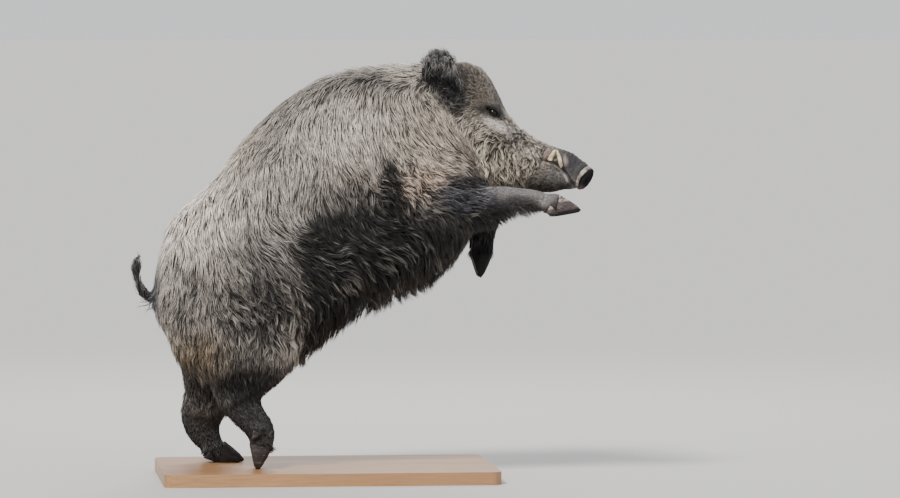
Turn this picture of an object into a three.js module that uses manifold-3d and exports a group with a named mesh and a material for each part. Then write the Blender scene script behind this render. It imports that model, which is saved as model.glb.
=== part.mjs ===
// A wild boar rearing on its hind legs: a still, life-size model on a plain base.
// Millimetres, +Z up, +X is the way it faces, -Y is its right side.
// The origin is the middle of the base's underside.
import * as THREE from 'three';
import { mergeVertices } from 'three/addons/utils/BufferGeometryUtils.js';
import Module from 'manifold-3d';

const wasm = await Module();
wasm.setup();

// ---------------------------------------------------------------- driving dimensions
const GAP = 0.4; // clearance left between neighbouring pieces
const BASE = { length: 780, width: 500, thickness: 30, corner: 24 };
const FLOOR = BASE.thickness + 0.3; // level of the small flats under the hooves
const HIP = 98; // each hind leg from the middle plane
const SHOULDER = 122; // each foreleg from the middle plane
const HEAD = { at: [270, 0, 909], pitch: 29.7, yaw: 16 }; // degrees below level, and to the right
const EYE = { u: 143, side: 49, v: 21, radius: 12 };
const DISC = { u: 393, v: -8.5, width: 68, height: 59, thickness: 13, turn: 12 };
const EAR = { length: 132, width: 94, thickness: 17, cup: 20 };
const TOE = { side: 14, splay: 5, sole: -38 }; // main toes, in the foot's own frame
const DEWCLAW = { side: 27, size: 0.6 };
// Straight cuts seen from the side: a point [x, z] on each and the way forward.
const SHOULDER_LINE = { at: [250, 790], towardsHead: [0.843, 0.54] };
const NAPE_LINE = { at: [297, 825], towardsNose: [0.943, 0.332] };
const WAIST_LINE = { at: [-85, 640], towardsChest: [0.707, 0.707] };
const FAR_AWAY = 2000; // size of the blocks that stand for half of space

const COLOURS = {
  backCoat: 0x8f867a,
  flankCoat: 0x6d665f,
  neckCoat: 0x877b6c,
  faceCoat: 0x6a6057,
  hamCoat: 0x7d6e58,
  legCoat: 0x3d3c40,
  shin: 0x55555c,
  earCoat: 0x3a3838,
  disc: 0x9a8983,
  eye: 0x120d0a,
  tusk: 0xd9c9a0,
  hoof: 0x4f463f,
  wood: 0xa98a63,
};

// ---------------------------------------------------------------- shaping helpers
const radians = THREE.MathUtils.degToRad;
const power = (value, exponent) => Math.sign(value) * Math.abs(value) ** exponent;

// A ring of a loft spans from a leading to a trailing point of the x-z plane and
// is `half` wide to each side. `egg` narrows its leading side and `full` squares it.
const ring = (lead, trail, half, { side = 0, egg = 0, full = 2.15 } = {}) => (
  { lead, trail, half, side, egg, full }
);
const end = (point, side = 0) => ring(point, point, 0, { side });

// A ball whose seam and poles are welded, ready to be stretched into other shapes.
function weldedBall(around, between) {
  const ball = new THREE.SphereGeometry(1, around, between);
  ball.deleteAttribute('normal');
  ball.deleteAttribute('uv');
  return mergeVertices(ball);
}

// Moves every vertex of a welded ball to where `place` puts it. `along` runs 0 to 1
// from pole to pole and `turn` is the angle around.
function reshape(ball, place) {
  const position = ball.attributes.position;
  const vertex = new THREE.Vector3();
  for (let i = 0; i < position.count; i += 1) {
    vertex.fromBufferAttribute(position, i);
    const along = Math.acos(THREE.MathUtils.clamp(vertex.y, -1, 1)) / Math.PI;
    const turn = Math.atan2(vertex.z, vertex.x);
    const target = place(along, turn);
    position.setXYZ(i, target.x, target.y, target.z);
  }
  return facingOut(ball);
}

// Turns a closed shape's triangles round if they face inwards.
function facingOut(geometry) {
  const position = geometry.attributes.position;
  const index = geometry.index.array;
  const [a, b, c] = [new THREE.Vector3(), new THREE.Vector3(), new THREE.Vector3()];
  let volume = 0;
  for (let i = 0; i < index.length; i += 3) {
    a.fromBufferAttribute(position, index[i]);
    b.fromBufferAttribute(position, index[i + 1]);
    c.fromBufferAttribute(position, index[i + 2]);
    volume += a.dot(b.cross(c));
  }
  if (volume < 0) {
    for (let i = 0; i < index.length; i += 3) {
      [index[i], index[i + 1]] = [index[i + 1], index[i]];
    }
  }
  return geometry;
}

// A closed body through a row of rings, whose outline seen from the side follows
// the leading and trailing points exactly.
function loft(rings, around, steps = 2) {
  const through = (points, kind) => new THREE.CatmullRomCurve3(points, false, kind);
  const line = (key) => rings.map((r) => new THREE.Vector3(r[key][0], r.side, r[key][1]));
  const lead = through(line('lead'), 'centripetal');
  const trail = through(line('trail'), 'centripetal');
  const sizes = through(rings.map((r) => new THREE.Vector3(r.half, r.egg, r.full)), 'catmullrom');
  return reshape(weldedBall(around, (rings.length - 1) * steps), (along, turn) => {
    const front = lead.getPoint(along);
    const back = trail.getPoint(along);
    const size = sizes.getPoint(along);
    const forward = power(Math.cos(turn), 2 / size.z);
    const sideways = power(Math.sin(turn), 2 / size.z) * (1 - size.y * forward);
    const middle = front.clone().add(back).multiplyScalar(0.5);
    const reach = front.sub(back).multiplyScalar(0.5 * forward);
    middle.add(reach);
    middle.y += Math.max(size.x, 0) * sideways;
    return middle;
  });
}

// An oval body of given half sizes, centred where told.
function oval(centre, halves, around = 12, between = 8) {
  const shape = facingOut(weldedBall(around, between));
  shape.scale(...halves);
  return shape.translate(...centre);
}

// The same closed shape with every vertex moved out by `by`.
function swollen(geometry, by = GAP) {
  const shape = geometry.clone();
  shape.computeVertexNormals();
  const { position, normal } = shape.attributes;
  for (let i = 0; i < position.count; i += 1) {
    position.setXYZ(
      i,
      position.getX(i) + normal.getX(i) * by,
      position.getY(i) + normal.getY(i) * by,
      position.getZ(i) + normal.getZ(i) * by,
    );
  }
  shape.deleteAttribute('normal');
  return shape;
}

// ---------------------------------------------------------------- solids
function solidOf(geometry, placement = new THREE.Matrix4()) {
  const shape = geometry.clone().applyMatrix4(placement);
  for (const name of ['normal', 'uv']) {
    shape.deleteAttribute(name);
  }
  const welded = mergeVertices(shape, 1e-4);
  return new wasm.Manifold(new wasm.Mesh({
    numProp: 3,
    vertProperties: Float32Array.from(welded.attributes.position.array),
    triVerts: Uint32Array.from(welded.index.array),
  }));
}

function geometryOf(solid) {
  const mesh = solid.getMesh();
  const geometry = new THREE.BufferGeometry();
  geometry.setAttribute('position', new THREE.BufferAttribute(mesh.vertProperties, 3));
  geometry.setIndex(new THREE.BufferAttribute(mesh.triVerts, 1));
  geometry.computeVertexNormals();
  return geometry;
}

// The half of space on the side that `normal` [x, z] points to, from `point` [x, z].
function halfSpace(point, normal, shift = 0) {
  const block = new THREE.BoxGeometry(FAR_AWAY, FAR_AWAY, FAR_AWAY);
  const length = Math.hypot(normal[0], normal[1]);
  const reach = shift + FAR_AWAY / 2;
  block.rotateY(-Math.atan2(normal[1], normal[0]));
  block.translate(
    point[0] + (normal[0] / length) * reach,
    0,
    point[1] + (normal[1] / length) * reach,
  );
  return solidOf(block);
}

// Parts a solid with a thin straight cut, seen from the side. The second half is
// the one that `normal` points to.
function partedBy(solid, point, normal) {
  const ahead = solid.intersect(halfSpace(point, normal, GAP / 2));
  const behind = solid.intersect(halfSpace(point, normal.map((n) => -n), GAP / 2));
  return [behind, ahead];
}

const aboveFloor = halfSpace([0, FLOOR], [0, 1]);

// ---------------------------------------------------------------- the scene
const boar = new THREE.Group();

function addMesh(name, geometry, colour, { roughness = 0.85, parent = boar } = {}) {
  const material = new THREE.MeshStandardMaterial({ color: colour, roughness, metalness: 0 });
  const mesh = new THREE.Mesh(geometry, material);
  mesh.name = name;
  parent.add(mesh);
  return mesh;
}

const addSolid = (name, solid, colour, options) => (
  addMesh(name, geometryOf(solid), colour, options)
);

// ---------------------------------------------------------------- base
// A plain plate, with a flat underside and rounded corners.
function baseShape() {
  const [x, y, r] = [BASE.length / 2, BASE.width / 2, BASE.corner];
  const outline = new THREE.Shape();
  outline.absarc(x - r, y - r, r, 0, Math.PI / 2);
  outline.absarc(r - x, y - r, r, Math.PI / 2, Math.PI);
  outline.absarc(r - x, r - y, r, Math.PI, 1.5 * Math.PI);
  outline.absarc(x - r, r - y, r, 1.5 * Math.PI, 2 * Math.PI);
  return new THREE.ExtrudeGeometry(outline, {
    depth: BASE.thickness,
    bevelEnabled: false,
    curveSegments: 2,
  });
}
addSolid('stand_base', solidOf(baseShape()), COLOURS.wood, { roughness: 0.6 });

// ---------------------------------------------------------------- torso
// One arched loft from the rump to the throat: the leading points are the line of
// the back and nape, the trailing ones the belly, brisket and throat.
const torsoRing = ([lead, trail, half, egg = 0.12]) => (
  ring(lead, trail, half, { egg, full: 2.25 })
);
const torso = loft([
  end([-407, 404]),
  ...[
    [[-403, 476], [-376, 338], 70],
    [[-388, 547], [-300, 290], 126],
    [[-362, 618], [-182, 292], 150],
    [[-262, 709], [-46, 298], 164],
    [[-203, 787], [59, 383], 174],
    [[-105, 888], [157, 436], 172],
    [[5, 949], [258, 481], 165],
    [[110, 967], [341, 554], 156],
    [[200, 973], [376, 639], 138],
    [[270, 968], [400, 686], 110],
  ].map(torsoRing),
  end([408, 815]),
], 16);

// ---------------------------------------------------------------- legs
// Each leg is one loft from deep in the body to the fetlock. The leading line is
// its front edge and the trailing line its back edge.
const hindRight = loft([
  end([-303, 568], 25 - HIP),
  ring([-143, 505], [-398, 455], 58, { side: 16 - HIP }),
  ring([-68, 373], [-390, 357], 72, { side: -HIP }),
  ring([-63, 293], [-350, 274], 64, { side: -HIP }),
  ring([-117, 225], [-296, 253], 46, { side: -HIP }),
  ring([-155, 194], [-284, 234], 33, { side: -HIP }),
  ring([-148, 171], [-270, 194], 27, { side: -HIP }),
  ring([-132, 148], [-228, 138], 24, { side: -HIP }),
  ring([-123, 117], [-190, 104], 25, { side: -HIP }),
  ring([-127, 92], [-184, 88], 23, { side: -HIP }),
  end([-156, 68], -HIP),
], 10);

const hindLeft = loft([
  end([-284, 568], HIP - 25),
  ring([-155, 498], [-383, 451], 58, { side: HIP - 16 }),
  ring([-120, 368], [-371, 333], 70, { side: HIP }),
  ring([-155, 263], [-342, 263], 58, { side: HIP }),
  ring([-195, 199], [-332, 205], 42, { side: HIP }),
  ring([-219, 152], [-339, 160], 33, { side: HIP }),
  ring([-240, 112], [-333, 115], 27, { side: HIP }),
  ring([-236, 80], [-308, 74], 25, { side: HIP }),
  end([-266, 46], HIP),
], 10);

const foreRight = loft([
  end([103, 874], 40 - SHOULDER),
  ring([256, 827], [45, 768], 38, { side: 26 - SHOULDER }),
  ring([322, 744], [80, 662], 50, { side: -SHOULDER - 2 }),
  ring([341, 697], [150, 615], 48, { side: -SHOULDER - 6 }),
  ring([355, 692], [256, 589], 38, { side: -SHOULDER - 10 }),
  ring([374, 691], [374, 597], 29, { side: -SHOULDER - 12 }),
  ring([409, 689], [411, 620], 24, { side: -SHOULDER - 12 }),
  ring([453, 684], [455, 628], 21, { side: -SHOULDER - 12 }),
  ring([494, 677], [488, 625], 22, { side: -SHOULDER - 12 }),
  end([524, 650], -SHOULDER - 12),
], 10);

const foreLeft = loft([
  end([131, 874], SHOULDER - 40),
  ring([284, 827], [73, 768], 38, { side: SHOULDER - 28 }),
  ring([343, 742], [132, 662], 50, { side: SHOULDER - 4 }),
  ring([374, 694], [204, 596], 45, { side: SHOULDER - 4 }),
  ring([402, 668], [296, 580], 36, { side: SHOULDER - 4 }),
  ring([424, 637], [343, 574], 30, { side: SHOULDER - 4 }),
  ring([425, 602], [354, 568], 27, { side: SHOULDER - 4 }),
  ring([415, 566], [358, 556], 25, { side: SHOULDER - 4 }),
  ring([408, 528], [360, 522], 23, { side: SHOULDER - 4 }),
  end([385, 502], SHOULDER - 4),
], 10);

// ---------------------------------------------------------------- feet
// A toe in the foot's frame: the fetlock is the origin, x runs forward along the
// sole and z is up. The sole is the level TOE.sole, and the coronet is a slanted cut.
const CORONET = { at: [25, -8], towardsTip: [40, -17] };
const mainToe = loft([
  end([-14, 4]),
  ring([8, 22], [-15, -17], 13),
  ring([31, 13], [5, -36], 13.5),
  ring([51, -4], [25, -46], 14),
  ring([69, -21], [53, -48], 10.5),
  end([78, -34]),
], 8, 1);
const smallToe = loft([
  end([-12, 2]),
  ring([20, 10], [-12, -24], 12.5),
  ring([50, -18], [18, -44], 12),
  end([66, -42]),
], 6, 1);

// A toe's flesh, its hoof, the room that the hoof needs and the room of the whole toe.
function toeSolids(shape, placement) {
  const level = halfSpace([0, TOE.sole], [0, 1]);
  const grown = solidOf(swollen(shape));
  const [flesh, hoof, hoofRoom, room] = [
    ...partedBy(solidOf(shape).intersect(level), CORONET.at, CORONET.towardsTip),
    grown.intersect(halfSpace(CORONET.at, CORONET.towardsTip)),
    grown,
  ].map((piece) => piece.transform(placement.elements));
  return {
    flesh: flesh.intersect(aboveFloor),
    hoof: hoof.intersect(aboveFloor),
    hoofRoom,
    room,
  };
}

// Four toes: two main ones side by side and two small ones behind and outside.
function addFoot({ name, at, turn, claw = [-19, 0], lean = -22 }) {
  const foot = new THREE.Matrix4().makeTranslation(...at);
  foot.multiply(new THREE.Matrix4().makeRotationY(-radians(turn)));
  const toes = [];
  for (const [side, sign] of [['outer', Math.sign(at[1])], ['inner', -Math.sign(at[1])]]) {
    const mainPlace = foot.clone();
    mainPlace.multiply(new THREE.Matrix4().makeTranslation(0, sign * TOE.side, 0));
    mainPlace.multiply(new THREE.Matrix4().makeRotationZ(sign * radians(TOE.splay)));
    const smallPlace = foot.clone();
    smallPlace.multiply(new THREE.Matrix4().makeTranslation(claw[0], sign * DEWCLAW.side, claw[1]));
    smallPlace.multiply(new THREE.Matrix4().makeRotationY(-radians(lean)));
    smallPlace.scale(new THREE.Vector3(DEWCLAW.size, DEWCLAW.size, DEWCLAW.size));
    const main = toeSolids(mainToe, mainPlace);
    const small = toeSolids(smallToe, smallPlace);
    toes.push(main, small);
    addSolid(`hoof_${name}_${side}`, main.hoof, COLOURS.hoof, { roughness: 0.55 });
    const dewclaw = small.hoof.subtract(main.room);
    addSolid(`dewclaw_${name}_${side}`, dewclaw, COLOURS.hoof, { roughness: 0.55 });
  }
  return toes;
}

const feet = {
  hindRight: addFoot({ name: 'hind_right', at: [-150, -HIP, 109], turn: -78 }),
  hindLeft: addFoot({ name: 'hind_left', at: [-263, HIP, 67], turn: 2 }),
  foreRight: addFoot({
    name: 'fore_right', at: [503, -SHOULDER - 12, 651], turn: 10, claw: [-9, -3], lean: -14,
  }),
  foreLeft: addFoot({ name: 'fore_left', at: [386, SHOULDER - 4, 545], turn: -72 }),
};

// Cuts a leg into three at its joints, and gives the last piece the toes' flesh.
function addLeg(geometry, toes, names, cuts, colours) {
  const [upper, rest] = partedBy(solidOf(geometry), ...cuts[0]);
  const [middle, lower] = partedBy(rest, ...cuts[1]);
  const fleshed = toes.reduce((whole, { flesh }) => whole.add(flesh), lower);
  const foot = toes.reduce((whole, { hoofRoom }) => whole.subtract(hoofRoom), fleshed);
  addSolid(names[0], upper, colours[0]);
  addSolid(names[1], middle, colours[1]);
  addSolid(names[2], foot.intersect(aboveFloor), colours[2]);
}

const { hamCoat, flankCoat, legCoat, shin } = COLOURS;
addLeg(
  hindRight,
  feet.hindRight,
  ['thigh_right', 'shank_right', 'hind_cannon_right'],
  [[[-150, 300], [0.2, -1]], [[-215, 205], [0.55, -1]]],
  [hamCoat, hamCoat, legCoat],
);
addLeg(
  hindLeft,
  feet.hindLeft,
  ['thigh_left', 'shank_left', 'hind_cannon_left'],
  [[[-250, 300], [-0.1, -1]], [[-275, 158], [0, -1]]],
  [hamCoat, hamCoat, legCoat],
);
addLeg(
  foreRight,
  feet.foreRight,
  ['upper_arm_right', 'forearm_right', 'fore_cannon_right'],
  [[[215, 660], [1, -0.35]], [[392, 650], [1, 0]]],
  [flankCoat, legCoat, shin],
);
addLeg(
  foreLeft,
  feet.foreLeft,
  ['upper_arm_left', 'forearm_left', 'fore_cannon_left'],
  [[[275, 640], [0.8, -1]], [[387, 608], [0.63, -0.78]]],
  [flankCoat, legCoat, shin],
);

// ---------------------------------------------------------------- head
const headGroup = new THREE.Group();
headGroup.position.set(...HEAD.at);
headGroup.rotation.order = 'ZYX';
headGroup.rotation.set(0, radians(HEAD.pitch), -radians(HEAD.yaw));
headGroup.updateMatrix();
boar.add(headGroup);
const fromHead = headGroup.matrix.clone();
const intoHead = fromHead.clone().invert();

// The skull's line, cheeks and snout: upright rings from the nape to the nose,
// each given as its place, top, bottom and half width.
const skullRing = ([u, top, bottom, half, egg = 0, full = 2.2]) => (
  ring([u, top], [u, bottom], half, { egg, full })
);
const skull = loft([
  end([-95, -60]),
  ...[
    [-68, 24, -140, 100],
    [-20, 62, -155, 108, 0.05],
    [22, 92, -156, 107, 0.18],
    [62, 97, -153, 105, 0.22],
    [96, 84, -151, 103, 0.2, 2.3],
    [130, 59, -150, 97, 0.16, 2.4],
    [165, 36, -149, 87, 0.12, 2.4],
    [202, 21, -143, 74, 0.1, 2.3],
    [242, 15, -123, 60, 0.05],
    [282, 20, -105, 53],
    [320, 27, -93, 50],
    [350, 30, -77, 44],
    [376, 25, -53, 37],
    [396, 20, -38, 32],
  ].map(skullRing),
  end([403, -8]),
], 20, 1);

// The mouth runs from under the nose, up beneath the tusks and down to its corner.
function jawBlock(lift) {
  const outline = new THREE.Shape();
  const at = (u, v) => new THREE.Vector2(u, v + lift);
  outline.moveTo(383 + lift, -220);
  outline.lineTo(383 + lift, -33 + lift);
  outline.splineThru([
    at(361, -16),
    at(343, -9),
    at(322, -9),
    at(302, -17),
    at(282, -31),
    at(258, -56),
    at(205, -100),
    at(150, -128),
  ]);
  outline.lineTo(110 - lift, -220);
  outline.closePath();
  const block = new THREE.ExtrudeGeometry(outline, {
    depth: 300,
    bevelEnabled: false,
    curveSegments: 3,
  });
  block.translate(0, 0, -150);
  return block.rotateX(Math.PI / 2);
}

const bothSides = (make) => [-1, 1].map(make);
const eyeBall = (sign, by = 0) => oval(
  [EYE.u, sign * EYE.side, EYE.v],
  Array(3).fill(EYE.radius + by),
  8,
  6,
);
const brows = bothSides((sign) => solidOf(oval([124, sign * 46, 32], [34, 20, 15], 8, 6)));
const lips = bothSides((sign) => solidOf(oval([316, sign * 30, -6], [34, 26, 20], 8, 6)));
const socket = (sign) => oval([EYE.u + 2, sign * (EYE.side + 17), EYE.v], [14, 13, 9], 8, 6);
const sockets = bothSides((sign) => solidOf(socket(sign)));
const eyeHoles = bothSides((sign) => solidOf(eyeBall(sign, GAP)));

// ---------------------------------------------------------------- tusks
// Two pairs lean together over the lips: the lower ones are sharper and stand in front.
const tusks = bothSides((sign) => ({
  tusk_lower: loft([
    end([346, -12], sign * 44),
    ring([347, -4], [337, -7], 5.5, { side: sign * 48 }),
    ring([338, 8], [329, 4], 5, { side: sign * 53 }),
    ring([327, 17], [321, 13], 3.5, { side: sign * 53 }),
    end([315, 23], sign * 51),
  ], 6, 1),
  tusk_upper: loft([
    end([314, -16], sign * 43),
    ring([321, -6], [308, -8], 6.5, { side: sign * 54 }),
    ring([319, 6], [309, 5], 5.5, { side: sign * 54 }),
    ring([317, 14], [310, 14], 3.8, { side: sign * 50 }),
    end([313, 21], sign * 46),
  ], 6, 1),
}));

// ---------------------------------------------------------------- ears
// A leaf-shaped cup: an oval section bent like a bow, hollow towards local +y.
function earShape() {
  const wide = new THREE.CatmullRomCurve3(
    [[0, 0.42], [0.18, 0.75], [0.45, 1], [0.75, 0.92], [0.93, 0.55], [1, 0]]
      .map(([s, w]) => new THREE.Vector3(s, w, 0)),
  );
  return reshape(weldedBall(10, 8), (along, turn) => {
    const station = wide.getPoint(along);
    const closing = Math.min(1, along * 12) * station.y;
    const across = Math.cos(turn);
    const bow = EAR.cup * (1 - across * across) * Math.min(1, closing * 1.3);
    const thick = EAR.thickness * Math.min(1, closing * 1.6);
    return new THREE.Vector3(
      (EAR.width / 2) * closing * across,
      (thick / 2) * Math.sin(turn) - bow,
      EAR.length * station.x,
    );
  });
}

// The right ear is pricked with its hollow to the side, the left one is laid back.
const EARS = [
  { name: 'ear_right', root: [52, -94, -10], tip: [-37, -112, 84], hollow: [0.25, -1, -0.1] },
  { name: 'ear_left', root: [38, 82, 6], tip: [-74, 124, 44], hollow: [0.1, 1, 0.35] },
];
const ears = EARS.map(({ name, root, tip, hollow }) => {
  const axis = new THREE.Vector3(...tip).sub(new THREE.Vector3(...root)).normalize();
  const facing = new THREE.Vector3(...hollow);
  facing.addScaledVector(axis, -facing.dot(axis)).normalize();
  const width = facing.clone().cross(axis);
  const placement = new THREE.Matrix4().makeBasis(width, facing, axis).setPosition(...root);
  return { name, placement, geometry: earShape() };
});

// The nose is turned a little to the right, from the skull's own line.
const discPlace = new THREE.Matrix4().makeTranslation(DISC.u, 0, DISC.v);
discPlace.multiply(new THREE.Matrix4().makeRotationZ(-radians(DISC.turn)));

// ---------------------------------------------------------------- head pieces
const face = [...brows, ...lips].reduce((whole, bulge) => whole.add(bulge), solidOf(skull));
const legHoles = [foreRight, foreLeft].map((leg) => solidOf(swollen(leg), intoHead));
const aheadOfNeck = (shift) => (
  halfSpace(NAPE_LINE.at, NAPE_LINE.towardsNose, shift).transform(intoHead.elements)
);
const carvedHead = [...sockets, ...eyeHoles, ...legHoles]
  .reduce((whole, hole) => whole.subtract(hole), face)
  .intersect(aheadOfNeck(0));
const noseRoom = halfSpace([-GAP, 0], [-1, 0]).transform(discPlace.elements);
const headAndJaw = carvedHead.intersect(noseRoom);
const addHead = (name, solid, colour, options) => (
  addSolid(name, solid, colour, { parent: headGroup, ...options })
);
addHead('head', headAndJaw.subtract(solidOf(jawBlock(GAP))), COLOURS.faceCoat);
addHead('lower_jaw', headAndJaw.intersect(solidOf(jawBlock(0))), COLOURS.faceCoat);

// Ears and tusks grow out of the skin, so they start where it does.
const grownBulges = [...brows, ...lips].map((bulge) => solidOf(swollen(geometryOf(bulge))));
const grownFace = grownBulges.reduce((whole, bulge) => whole.add(bulge), solidOf(swollen(skull)));
const headRoom = grownFace.intersect(aheadOfNeck(-GAP));
const grownNeck = solidOf(swollen(torso), intoHead);
for (const { name, placement, geometry } of ears) {
  const ear = solidOf(geometry, placement).subtract(grownFace).subtract(grownNeck);
  addHead(name, ear, COLOURS.earCoat);
}
for (const [i, side] of ['right', 'left'].entries()) {
  const eye = eyeBall(i * 2 - 1);
  addMesh(`eye_${side}`, eye, COLOURS.eye, { roughness: 0.1, parent: headGroup });
  for (const [name, shape] of Object.entries(tusks[i])) {
    const tusk = solidOf(shape).subtract(grownFace);
    addHead(`${name}_${side}`, tusk, COLOURS.tusk, { roughness: 0.35 });
  }
}

// The nose is a dished disc of gristle with a raised rim and two nostrils.
function noseDisc() {
  const [t, rim] = [DISC.thickness, 0.09];
  const profile = [
    [0, 0],
    [0.93, 0],
    [1, 0.25],
    [1, 0.72],
    [1 - rim, 1],
    [1 - 2 * rim, 0.86],
    [0, 0.8],
  ].map(([r, h]) => new THREE.Vector2(r, h * t));
  const disc = new THREE.LatheGeometry(profile, 12);
  disc.rotateZ(-Math.PI / 2);
  disc.scale(1, DISC.height / 2, DISC.width / 2);
  disc.rotateX(Math.PI / 2);
  disc.deleteAttribute('normal');
  disc.deleteAttribute('uv');
  const nostril = (sign) => solidOf(oval([t, sign * 14, -3], [8, 6, 9], 6, 4));
  const pierced = bothSides(nostril).reduce((whole, hole) => whole.subtract(hole), solidOf(disc));
  return pierced.transform(discPlace.elements);
}
addHead('nose_disc', noseDisc(), COLOURS.disc, { roughness: 0.5 });

// ---------------------------------------------------------------- tail
const tail = loft([
  end([-392, 424]),
  ring([-404, 434], [-413, 408], 12),
  ring([-424, 446], [-441, 427], 10),
  ring([-431, 468], [-451, 464], 9),
  ring([-429, 494], [-458, 488], 12),
  ring([-430, 512], [-452, 508], 9),
  end([-437, 526]),
], 8, 1);
addMesh('tail', tail, legCoat);

// ---------------------------------------------------------------- trunk and neck
const rooms = [
  ...[hindRight, hindLeft, foreRight, foreLeft, tail].map((limb) => solidOf(swollen(limb))),
  ...feet.foreLeft.map(({ room }) => room),
  headRoom.transform(fromHead.elements),
];
const body = rooms.reduce((whole, room) => whole.subtract(room), solidOf(torso));
const [trunk, neck] = partedBy(body, SHOULDER_LINE.at, SHOULDER_LINE.towardsHead);
const [rump, chest] = partedBy(trunk, WAIST_LINE.at, WAIST_LINE.towardsChest);
addSolid('trunk_rump', rump, COLOURS.backCoat);
addSolid('trunk_chest', chest, COLOURS.backCoat);
addSolid('neck', neck, COLOURS.neckCoat);

export default boar;
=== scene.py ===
"""A wild boar rearing on its hind legs: a still, life-size model on a plain wooden base."""
import math

import bmesh
import bpy
import numpy as np
from mathutils import Matrix, Vector
from mathutils.bvhtree import BVHTree
from mathutils.kdtree import KDTree


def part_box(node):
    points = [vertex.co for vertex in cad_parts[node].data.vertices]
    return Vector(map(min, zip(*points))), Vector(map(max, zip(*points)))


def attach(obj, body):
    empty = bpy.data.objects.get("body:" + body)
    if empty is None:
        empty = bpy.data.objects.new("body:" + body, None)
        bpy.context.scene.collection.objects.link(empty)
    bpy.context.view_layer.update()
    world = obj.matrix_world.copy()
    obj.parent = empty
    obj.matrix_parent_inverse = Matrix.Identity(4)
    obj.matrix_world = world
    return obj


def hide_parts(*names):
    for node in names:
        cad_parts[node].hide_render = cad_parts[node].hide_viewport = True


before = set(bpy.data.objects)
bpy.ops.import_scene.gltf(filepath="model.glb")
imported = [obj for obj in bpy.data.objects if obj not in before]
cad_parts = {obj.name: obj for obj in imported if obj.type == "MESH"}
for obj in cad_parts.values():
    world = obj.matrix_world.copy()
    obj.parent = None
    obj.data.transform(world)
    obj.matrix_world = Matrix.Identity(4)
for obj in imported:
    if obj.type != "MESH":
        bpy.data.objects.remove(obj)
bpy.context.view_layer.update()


# ---------------------------------------------------------------- camera, floor and light
# The boar is seen from its right side, a little from behind and from just above its
# own height, through a long lens. The floor is plain and pale, the light is soft.
def seen_from(azimuth, elevation, distance, target, lens):
    """A camera that looks at the target from that direction."""
    a, e = math.radians(azimuth), math.radians(elevation)
    away = Vector((math.sin(a) * math.cos(e), -math.cos(a) * math.cos(e), math.sin(e)))
    camera = bpy.data.objects.new("camera", bpy.data.cameras.new("camera"))
    camera.data.lens = lens
    camera.data.sensor_width = 36
    camera.location = target + away * distance
    camera.rotation_euler = away.to_track_quat("Z", "Y").to_euler()
    bpy.context.scene.collection.objects.link(camera)
    return camera


bpy.context.scene.camera = seen_from(-6, 2.5, 12, Vector((0.294, 0, 0.535)), 204.3)

FLOOR_HALF = 400.0  # so wide that its far edge is lost behind the base
floor_mesh = bpy.data.meshes.new("floor")
CORNERS_OF_SQUARE = ((-1, -1), (1, -1), (1, 1), (-1, 1))
floor_corners = [(x * FLOOR_HALF, y * FLOOR_HALF, 0) for x, y in CORNERS_OF_SQUARE]
floor_mesh.from_pydata(floor_corners, [], [(0, 1, 2, 3)])
floor = bpy.data.objects.new("floor", floor_mesh)
bpy.context.scene.collection.objects.link(floor)


def softbox(name, place, aim, size, watts, colour=(1, 1, 1)):
    """A square area light that faces the aim."""
    light = bpy.data.lights.new(name, "AREA")
    light.size = size
    light.energy = watts
    light.color = colour
    lamp = bpy.data.objects.new(name, light)
    lamp.location = place
    lamp.rotation_euler = (Vector(place) - Vector(aim)).to_track_quat("Z", "Y").to_euler()
    bpy.context.scene.collection.objects.link(lamp)


CHEST = (0.05, 0, 0.65)
softbox("fill", (3.0, -3.4, 1.4), CHEST, 2.5, 22, (0.9, 0.95, 1))
softbox("rim", (0.4, 2.8, 3.0), CHEST, 1.6, 70, (1, 0.98, 0.94))

sun = bpy.data.lights.new("key", "SUN")
sun.energy = 4.5
sun.angle = math.radians(14)
sun.color = (1, 0.965, 0.92)
key = bpy.data.objects.new("key", sun)
key.rotation_euler = Vector((-0.75, -1.0, 1.45)).to_track_quat("Z", "Y").to_euler()
bpy.context.scene.collection.objects.link(key)

world = bpy.data.worlds.new("studio")
world.use_nodes = True
world.node_tree.nodes["Background"].inputs["Color"].default_value = (0.80, 0.81, 0.83, 1)
world.node_tree.nodes["Background"].inputs["Strength"].default_value = 1.1
bpy.context.scene.world = world


# ---------------------------------------------------------------- base
# A plain board of varnished wood with rounded corners, which keeps the rearing animal
# from falling over. Its grain runs lengthwise.
class Wire:
    """A value on its way through a material's nodes, which takes part in arithmetic."""

    def __init__(self, finish, socket):
        self.finish = finish
        self.socket = socket

    def maths(self, operation, *values):
        sockets = dict(enumerate((self, *values)))
        return self.finish.node("Math", {"operation": operation}, sockets)

    def __add__(self, other):
        return self.maths("ADD", other)

    def __sub__(self, other):
        return self.maths("SUBTRACT", other)

    def __rsub__(self, other):
        return (self * -1) + other

    def __mul__(self, other):
        return self.maths("MULTIPLY", other)

    __radd__ = __add__
    __rmul__ = __mul__

    def within(self, low, high):
        """0 below `low` and 1 above `high`, or the other way round if `low` is larger."""
        settings = {"interpolation_type": "SMOOTHSTEP", "clamp": True}
        if low > high:
            return 1 - self.within(high, low)
        return self.finish.node(
            "MapRange", settings, {"Value": self, "From Min": low, "From Max": high}
        )


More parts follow.
